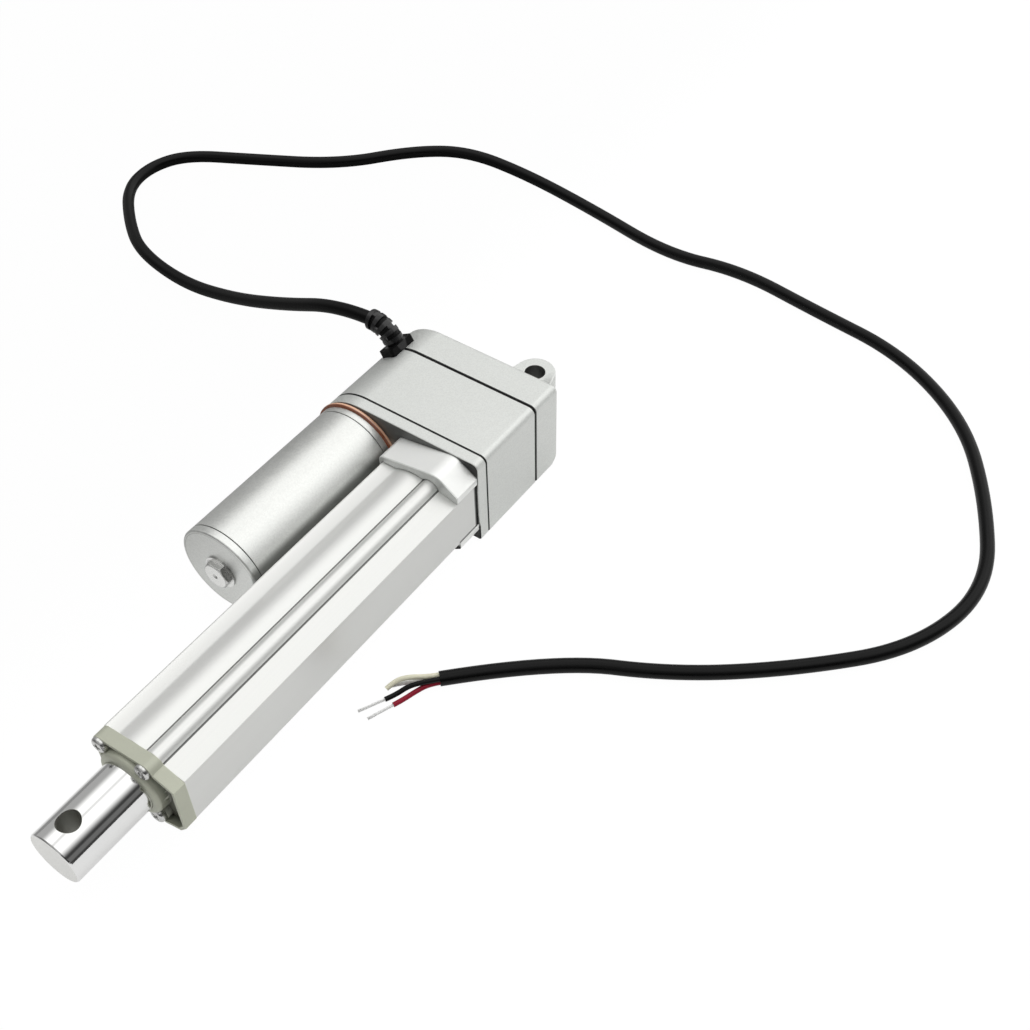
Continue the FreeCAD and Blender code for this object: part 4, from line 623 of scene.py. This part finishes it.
def eased_skin(node, *eases, reshape=None):
    """A copy of a CAD node with its flat faces joined and its sharp edges eased.

    Each ease is a test for edges, a radius in millimetres and the mark that the new faces get.
    """
    same_place = 0.002
    shell = bmesh.new()
    shell.from_mesh(frame["nodes"][node].data)
    bmesh.ops.remove_doubles(shell, verts=shell.verts, dist=same_place * MM)
    bmesh.ops.dissolve_limit(shell, angle_limit=math.radians(FLAT_ANGLE),
                             verts=shell.verts, edges=shell.edges)
    if reshape:
        reshape(shell)
    # Faces on eased edges are marked for a painted highlight; those in creases and on seams for painted
    # shade or a dark joint line.
    marks = {name: shell.faces.layers.float.new(name) for name in ("edge", "shade_and_seam")}
    for test, radius, mark in eases:
        edges = [edge for edge in shell.edges if is_sharp(edge) and test(edge)]
        for face in ease(shell, edges, radius):
            face[marks[mark]] = 1.0
    scratch = add_object("scratch", smooth_mesh(shell, f"{node}_skin"))
    weighted = scratch.modifiers.new("weighted", "WEIGHTED_NORMAL")
    weighted.keep_sharp = True
    return new_piece(f"{node}_skin", plain_mesh(scratch), SLOT_OF[node], body_of(node), [node])


def rear_outline(edge):
    """Whether a square outer edge of the rear cover is clear of its seam and the strain relief's hole."""
    reach = 4.5
    offsets = [end.co / MM - RELIEF_FOOT for end in edge.verts]
    clear = all((way - RELIEF_OUT * way.dot(RELIEF_OUT)).length > reach for way in offsets)
    is_square = edge.calc_face_angle() > math.radians(SQUARE_ANGLE)
    return edge.is_convex and is_square and clear and not rear_seam(edge)


def rear_seam(edge):
    """Whether an edge borders the seam at the front of the rear cover."""
    return edge.is_convex and all(abs(end.co.x / MM - REAR_SEAM) < 0.1 for end in edge.verts)


def faces_tube(edge):
    """Whether one of an edge's faces looks in towards the tube."""
    outward = ((edge.verts[0].co + edge.verts[1].co) / 2).yz.normalized()
    return any(face.normal.yz.dot(outward) < -0.5 for face in edge.link_faces)


def on_jaw(edge):
    """Whether an outer edge stands in front of the plate and short of the tube's flat side."""
    rear = (PLATE_FRONT + 1.2) * MM
    side = (TUBE_SIDE - 0.5) * MM
    return edge.is_convex and all(end.co.x > rear and end.co.y < side for end in edge.verts)


def jaw_outside(edge):
    return on_jaw(edge) and not faces_tube(edge)


def jaw_inside(edge):
    return on_jaw(edge) and faces_tube(edge)


def crest_at(across):
    """Height and slope of a jaw's smooth crest at a way across, or None beside the crest."""
    (start, low), (corner, high), (stop, end) = CREST_FROM, CREST_CORNER, CREST_TO
    if not start - 0.01 < across < stop + 0.01:
        return None
    bend = start - 2 * corner + stop
    rise = 2 * (corner - start)
    share = (math.sqrt(max(rise ** 2 - 4 * bend * (start - across), 0.0)) - rise) / (2 * bend)
    height = (1 - share) ** 2 * low + 2 * share * (1 - share) * high + share ** 2 * end
    climb = (1 - share) * (high - low) + share * (end - high)
    advance = (1 - share) * (corner - start) + share * (stop - corner)
    return height, math.atan2(climb, advance)


def smooth_crests(shell):
    """Give each jaw one smooth crest, from its long slope to its short one.

    The crest's rear end comes forward to just inside the plate.
    """
    pocket_shade = 0.02
    for vertex in shell.verts:
        along, across, up = vertex.co / MM
        crest = crest_at(across)
        if along < PLATE_FRONT - 1 or crest is None:
            continue
        round_height = CREST_CENTRE[1] + math.sqrt(CREST_RADIUS ** 2 - (across - CREST_CENTRE[0]) ** 2)
        if abs(abs(up) - round_height) < CREST_NEAR:
            height, _ = crest
            forward = max(along, PLATE_FRONT - pocket_shade)
            vertex.co = Vector((forward, across, math.copysign(height, up))) * MM


def even_crest_light(skin):
    """Let the light run evenly over the crests of the finished jaws."""
    normals = [corner.vector.copy() for corner in skin.corner_normals]
    for face in skin.polygons:
        for corner in face.loop_indices:
            along, across, up = skin.vertices[skin.loops[corner].vertex_index].co / MM
            crest = crest_at(across)
            is_top = abs(face.normal.x) < 0.3 and along > PLATE_FRONT - CREST_NEAR
            if crest is None or not is_top:
                continue
            height, slope = crest
            if abs(abs(up) - height) < CREST_NEAR:
                normals[corner] = Vector((0, -math.sin(slope), math.copysign(math.cos(slope), up)))
    skin.normals_split_custom_set(normals)


def runs_along_cap(face):
    """Whether a face runs along the cap's side from the tube to the rim."""
    stations = [end.co.x / MM for end in face.verts]
    return abs(face.normal.x) < 0.1 and min(stations) < CAP_REAR + 0.1 and max(stations) > CAP_RIM - 0.1


def cap_outline(edge):
    """Whether an outer edge borders the cap's side, clear of the rod's hole."""
    reach = 13.5
    is_outside = all(end.co.yz.length > reach * MM for end in edge.verts)
    return edge.is_convex and is_outside and any(runs_along_cap(face) for face in edge.link_faces)


def dressed_plug():
    """The plug with a painted highlight on its face and painted shade on its flanks beside the tube."""
    plug = eased_skin("motor_end_plug").data
    marks = zip(plug.polygons, plug.attributes["edge"].data, plug.attributes["shade_and_seam"].data)
    for face, edge, shade_and_seam in marks:
        is_flank = abs(face.normal.x) < 0.1 and face.normal.y > 0.3
        edge.value = 1.0 if face.normal.x > 0.9 else 0.0
        shade_and_seam.value = 1.0 if is_flank else 0.0


def dressed_cap():
    """The cap with its pockets marked for painted shade that deepens towards their floors."""
    cap = eased_skin("front_cap", (cap_outline, 0.25, "edge")).data
    for face, shade_and_seam in zip(cap.polygons, cap.attributes["shade_and_seam"].data):
        lowest = min(cap.vertices[number].co.x for number in face.vertices) / MM
        is_floor = face.normal.x > 0.9
        if CAP_FLOOR - 0.1 < lowest < CAP_RIM - 0.5:
            shade_and_seam.value = 0.8 if is_floor else 1.0


def recess_radius(angle, kind, reach):
    """Outline of a screw's recess: a hexagon or a cross."""
    if kind == "hexagon":
        part = (angle + math.pi / 6) % (math.pi / 3) - math.pi / 6
        return reach / math.cos(part)
    half_arm = 0.27 * reach
    part = abs((angle + math.pi / 4) % (math.pi / 2) - math.pi / 4)
    return min(reach / math.cos(part), half_arm / max(math.sin(part), 0.0001))


def screw_model(head, high, dome, recess, reach, deep, shank, long):
    """A screw along +X with its seat at the origin, built ring by ring from the recess outwards.

    Head, reach and shank are radii, and dome is the round of the head's edge.
    """
    sides = 64
    dome_steps = 4
    floor_share = 0.72
    lip = 0.04
    rings = [(floor_share, high - deep, True), (1.0, high - lip, True), (head - dome, high, False)]
    for step in range(1, dome_steps + 1):
        angle = step * math.pi / (2 * dome_steps)
        rings.append((head - dome + dome * math.sin(angle), high - dome + dome * math.cos(angle), False))
    rings += [(head, 0.0, False), (shank, 0.0, False), (shank, -long, False)]
    shell = bmesh.new()
    loops = []
    for radius, along, is_recess in rings:
        loop = []
        for side in range(sides):
            angle = 2 * math.pi * side / sides
            away = radius * recess_radius(angle, recess, reach) if is_recess else radius
            place = Vector((along, away * math.cos(angle), away * math.sin(angle))) * MM
            loop.append(shell.verts.new(place))
        loops.append(loop)
    for near, far in zip(loops, loops[1:]):
        for side in range(sides):
            after = (side + 1) % sides
            shell.faces.new((near[side], near[after], far[after], far[side]))
    shell.faces.new(loops[0])
    shell.faces.new(loops[-1])
    bmesh.ops.recalc_face_normals(shell, faces=shell.faces)
    return smooth_mesh(shell, "screw_model", sharp_degrees=35)


def repeat_tree():
    """A tree that sets a model on every point, faced as the point says and turned about its own X."""
    tree = bpy.data.node_groups.new("repeat_on_points", "GeometryNodeTree")
    inputs = {"Points": "Geometry", "Model": "Object", "Random turn": "Float", "Finish": "Material"}
    for name, kind in inputs.items():
        tree.interface.new_socket(name, in_out="INPUT", socket_type=f"NodeSocket{kind}")
    tree.interface.new_socket("Result", in_out="OUTPUT", socket_type="NodeSocketGeometry")
    given = tree.nodes.new("NodeGroupInput")
    result = tree.nodes.new("NodeGroupOutput")
    model = tree.nodes.new("GeometryNodeObjectInfo")
    facing = tree.nodes.new("GeometryNodeInputNamedAttribute")
    angle = tree.nodes.new("FunctionNodeRandomValue")
    euler = tree.nodes.new("ShaderNodeCombineXYZ")
    stamp = tree.nodes.new("GeometryNodeInstanceOnPoints")
    spin = tree.nodes.new("GeometryNodeRotateInstances")
    real = tree.nodes.new("GeometryNodeRealizeInstances")
    paint = tree.nodes.new("GeometryNodeSetMaterial")
    facing.data_type = "FLOAT_VECTOR"
    facing.inputs["Name"].default_value = "facing"
    angle.data_type = "FLOAT"
    angle.inputs["Seed"].default_value = 7
    highest_float = angle.inputs[3]
    drawn_float = angle.outputs[1]
    join = tree.links.new
    join(given.outputs["Model"], model.inputs["Object"])
    join(given.outputs["Random turn"], highest_float)
    join(drawn_float, euler.inputs["X"])
    join(given.outputs["Points"], stamp.inputs["Points"])
    join(model.outputs["Geometry"], stamp.inputs["Instance"])
    join(facing.outputs["Attribute"], stamp.inputs["Rotation"])
    join(stamp.outputs["Instances"], spin.inputs["Instances"])
    join(euler.outputs["Vector"], spin.inputs["Rotation"])
    join(spin.outputs["Instances"], real.inputs["Geometry"])
    join(real.outputs["Geometry"], paint.inputs["Geometry"])
    join(given.outputs["Finish"], paint.inputs["Material"])
    join(paint.outputs["Geometry"], result.inputs["Result"])
    return tree


REPEAT = repeat_tree()


def repeated(name, model_mesh, places, slot, stands_for=(), random_turn=0.0, facings=()):
    """One piece made of a model repeated at places in millimetres."""
    points = bpy.data.meshes.new("points")
    points.from_pydata([Vector(place) * MM for place in places], [], [])
    facing = points.attributes.new("facing", "FLOAT_VECTOR", "POINT")
    for number, turn in enumerate(facings):
        facing.data[number].vector = turn
    model = add_object("model", model_mesh)
    carrier = add_object("carrier", points)
    stamp = carrier.modifiers.new("repeat", "NODES")
    stamp.node_group = REPEAT
    sockets = {item.name: item.identifier for item in REPEAT.interface.items_tree}
    stamp[sockets["Model"]] = model
    stamp[sockets["Random turn"]] = random_turn
    stamp[sockets["Finish"]] = FINISHES[slot]
    mesh = plain_mesh(carrier)
    bpy.data.objects.remove(model)
    new_piece(name, mesh, slot, HOUSING, stands_for)


def all_screws():
    """The cap's domed screws with a cross, and the gearbox's, which face back, with a hexagon."""
    random_turn = 2.0
    cap_screw = screw_model(head=3.0, high=2.5, dome=1.2, recess="cross", reach=1.6, deep=1.4,
                            shank=1.25, long=14.0)
    repeated("cap_screw_set", cap_screw, [(CAP_SCREW_SEAT, *place) for place in CAP_SCREW_PLACES],
             "zinc_steel", ["cap_screws"], random_turn)
    case_screw = screw_model(head=3.4, high=2.8, dome=0.4, recess="hexagon", reach=1.6, deep=1.8,
                             shank=2.0, long=45.5)
    case_screw.transform(Matrix.Rotation(math.pi, 4, "Z"))
    repeated("case_screw_set", case_screw, [(CASE_SCREW_SEAT, *place) for place in CASE_SCREW_PLACES],
             "zinc_steel", ["housing_screws"], random_turn)


def relief_bridges():
    """Small blocks that tie the relief's ribs together, by turns at its sides and at back and front."""
    size = Vector((2.4, 1.5, 2.6))
    corner = 0.25
    reach = 3.3
    block = bmesh.new()
    bmesh.ops.create_cube(block, size=1.0)
    bmesh.ops.scale(block, verts=block.verts, vec=size * MM)
    ease(block, block.edges[:], corner)
    mesh = smooth_mesh(block, "bridge_model")
    places = []
    facings = []
    for gap in range(RELIEF_GAPS):
        angle = math.radians(RELIEF_RIB_PITCH * gap + (RELIEF_RIB_PITCH + RELIEF_RIB_ANGLE) / 2)
        away = RELIEF_OUT * math.sin(angle) - RELIEF_BEND_WAY * math.cos(angle)
        along = RELIEF_OUT * math.cos(angle) + RELIEF_BEND_WAY * math.sin(angle)
        outward = RELIEF_SIDE if gap % 2 == 0 else away
        for sign in (1, -1):
            places.append(RELIEF_MIDDLE + away * RELIEF_BEND + outward * (sign * reach))
            turn = Matrix((along, outward, along.cross(outward))).transposed()
            facings.append(turn.to_euler())
    repeated("relief_bridges", mesh, places, "black_rubber", facings=facings)


def round_curve(name, radius, resolution):
    """An empty curve whose splines become round cords with closed ends."""
    curve = bpy.data.curves.new(name, "CURVE")
    curve.dimensions = "3D"
    curve.bevel_depth = radius * MM
    curve.bevel_resolution = resolution
    curve.use_fill_caps = True
    return curve


def smooth_line(name, route, radius):
    """A round cord whose route is the control polygon of one smooth spline."""
    curve = round_curve(name, radius, resolution=7)
    spline = curve.splines.new("NURBS")
    spline.points.add(len(route) - 1)
    for point, place in zip(spline.points, route):
        point.co = (*(Vector(place) * MM), 1.0)
    spline.order_u = 3
    spline.use_endpoint_u = True
    spline.resolution_u = 12
    return add_object(name, curve)


def bare_tips():
    """Twisted tinned strands on the ends of two wires, one in the middle and the others round it."""
    strand = 0.19
    strands = 7
    turns = 1.6
    steps = 28
    flare = 0.25
    stagger = 0.03
    curve = round_curve("tips", strand, resolution=2)
    for name in BARE_WIRES:
        before, last = (Vector(place) for place in WIRE_ROUTES[name][-2:])
        along = (last - before).normalized()
        aside = along.cross(Vector((0, 0, 1))).normalized()
        up = aside.cross(along)
        for number in range(strands):
            away = TIP_RADIUS - strand if number else 0.0
            start = 2 * math.pi * number / (strands - 1)
            spline = curve.splines.new("POLY")
            spline.points.add(steps)
            for step, point in enumerate(spline.points):
                share = step / steps
                angle = start + 2 * math.pi * turns * share
                spread = away * (1 + flare * share ** 3)
                offset = aside * (spread * math.cos(angle)) + up * (spread * math.sin(angle))
                reach = TIP_LONG * share * (1 - stagger * (number % 3) * share)
                point.co = (*((last + along * reach + offset) * MM), 1.0)
    mesh = plain_mesh(add_object("tips", curve))
    smooth(mesh, sharp_degrees=60)
    return new_piece("bare_tips", mesh, "tinned", HOUSING, ["wire_tips"])


def cable_and_wires():
    """The cable and the wires that stand out of its end."""
    cable = smooth_line("cable_sheath", CABLE_ROUTE, CABLE_RADIUS)
    settle(cable, "cable_black", HOUSING, ["cable"])
    for name, route in WIRE_ROUTES.items():
        wire = smooth_line(f"{name}_wire", route, WIRE_RADIUS)
        settle(wire, f"wire_{name}", HOUSING, [f"wire_{name}"])
    bare_tips()


def dress_frame():
    """Every CAD node takes its finish, and the castings, tube, cap and plug get skins of their own."""
    for node, thing in frame["nodes"].items():
        thing.data.materials.clear()
        thing.data.materials.append(FINISHES[SLOT_OF[node]])
    # The rear seam and the middle housing get dark joint lines; the jaws' inner edges and the tube's
    # inner corners get painted shade.
    eased_skin("rear_cover", (rear_outline, 0.3, "edge"), (rear_seam, 0.2, "shade_and_seam"))
    eased_skin("middle_housing", (stands_out, 0.2, "shade_and_seam"))
    front = eased_skin("front_cover", (jaw_outside, 0.4, "edge"), (jaw_inside, 0.2, "shade_and_seam"),
                       reshape=smooth_crests)
    even_crest_light(front.data)
    eased_skin("outer_tube", (lies_in_corner, 0.4, "shade_and_seam"))
    dressed_cap()
    dressed_plug()


def between(first, second, share):
    """A value on the way from the first to the second."""
    return first + (second - first) * share


def studio_light():
    """A broad soft box overhead, a pale wall at the left and a dark room at the right of the rod.

    Lean is the angle in degrees from straight up, and grows towards the right. Behind the gearbox the
    soft box lies further right, the wall is dimmer and the dark is paler. Ahead of the rod all is dimmer.
    """
    soft_box = 1.43
    front_wall = 0.45
    rear_wall = 0.27
    front_dark = 0.035
    rear_dark = 0.38
    tip_light = 0.35
    wall_edge = (-60, -26)
    wall_edge_shift = 4
    dark_edge = (24, 58)
    dark_edge_shift = 14
    dark_edge_spread = 8
    seam_lean = -5.0
    seam_depth = 0.36
    strip_lean = 72.0
    strip_light = 0.11
    world = bpy.data.worlds.new("studio")
    bpy.context.scene.world = world
    sky = Finish(world)
    way = sky.node("ShaderNodeTexCoord", output="Generated")
    split = sky.add("ShaderNodeSeparateXYZ", {}, {"Vector": way})
    along, across, up = (Signal(sky, split.outputs[axis]) for axis in "XYZ")
    lean = sky.maths("ARCTAN2", across, up) * (180 / math.pi)
    behind = sky.fall(along, -0.42, -0.26, "SMOOTHSTEP")
    ahead = sky.remap(along, 0.05, 0.55, 1.0, tip_light, "SMOOTHSTEP")
    past_wall = sky.rise(lean - wall_edge_shift * behind, *wall_edge, "SMOOTHSTEP")
    left = between(between(front_wall, rear_wall, behind), soft_box, past_wall)
    dark_from, dark_full = dark_edge
    before_dark = sky.fall(lean - dark_edge_shift * behind, dark_from,
                           dark_full + dark_edge_spread * behind, "SMOOTHSTEP")
    right = between(between(front_dark, rear_dark, behind), 1, before_dark)
    seam = 1 - seam_depth * lean.within(seam_lean, 0.3, 9.0)
    strip = strip_light * lean.within(strip_lean, 5.0, 6.0) * (1 - behind)
    room = (left * right * seam + strip) * ahead
    to_eye = sky.node("ShaderNodeLightPath", output="Is Camera Ray")
    strength = between(room, 1, to_eye)
    glow = sky.node("ShaderNodeBackground", {}, {"Color": (1.0, 1.0, 0.99, 1.0), "Strength": strength})
    sky.add("ShaderNodeOutputWorld", {}, {"Surface": glow})


def pale_floor():
    """A white floor that keeps a faint shadow. Under the motor and beyond it, it lights the part less."""
    half = 4.0
    gap = 0.02
    dim_until = -110
    bright_from = -20
    level = cad_low[2] - gap * MM
    mesh = bpy.data.meshes.new("floor")
    corners = [(-half, -half), (half, -half), (half, half), (-half, half)]
    mesh.from_pydata([(x, y, level) for x, y in corners], [], [(0, 1, 2, 3)])
    floor = add_object("floor", mesh)
    paper = new_finish("paper_floor")
    path = paper.add("ShaderNodeLightPath")
    to_eye = Signal(paper, path.outputs["Is Camera Ray"])
    to_gloss = Signal(paper, path.outputs["Is Glossy Ray"])
    lit = paper.rise(paper.measure("Y"), dim_until, bright_from, "SMOOTHSTEP")
    tint = paper.blend(lit, (0.36, 0.36, 0.36, 1.0), (0.92, 0.92, 0.915, 1.0))
    matt = paper.node("ShaderNodeBsdfDiffuse", {}, {"Color": tint})
    white = paper.node("ShaderNodeEmission", {}, {"Strength": 1.02})
    shown = 0.96 * to_eye + 0.5 * lit * to_gloss
    seen = paper.node("ShaderNodeMixShader", {}, {"Fac": shown, 1: matt, 2: white})
    paper.add("ShaderNodeOutputMaterial", {}, {"Surface": seen})
    mesh.materials.append(paper.owner)


def camera():
    """The camera of the photo's view."""
    lens = bpy.data.cameras.new("camera")
    lens.lens = CAMERA_LENS
    lens.sensor_width = 36.0
    lens.clip_start = 0.01
    eye = add_object("camera", lens)
    level = math.cos(CAMERA_ELEVATION)
    look = Vector((-math.sin(CAMERA_AZIMUTH) * level, math.cos(CAMERA_AZIMUTH) * level,
                   -math.sin(CAMERA_ELEVATION)))
    eye.rotation_mode = "QUATERNION"
    eye.rotation_quaternion = look.to_track_quat("-Z", "Y") @ Quaternion((0, 0, 1), CAMERA_ROLL)
    eye.location = CAMERA_PLACE
    bpy.context.scene.camera = eye


bpy.context.scene.view_settings.view_transform = "Standard"
dress_frame()
all_screws()
relief_bridges()
cable_and_wires()
studio_light()
pale_floor()
camera()
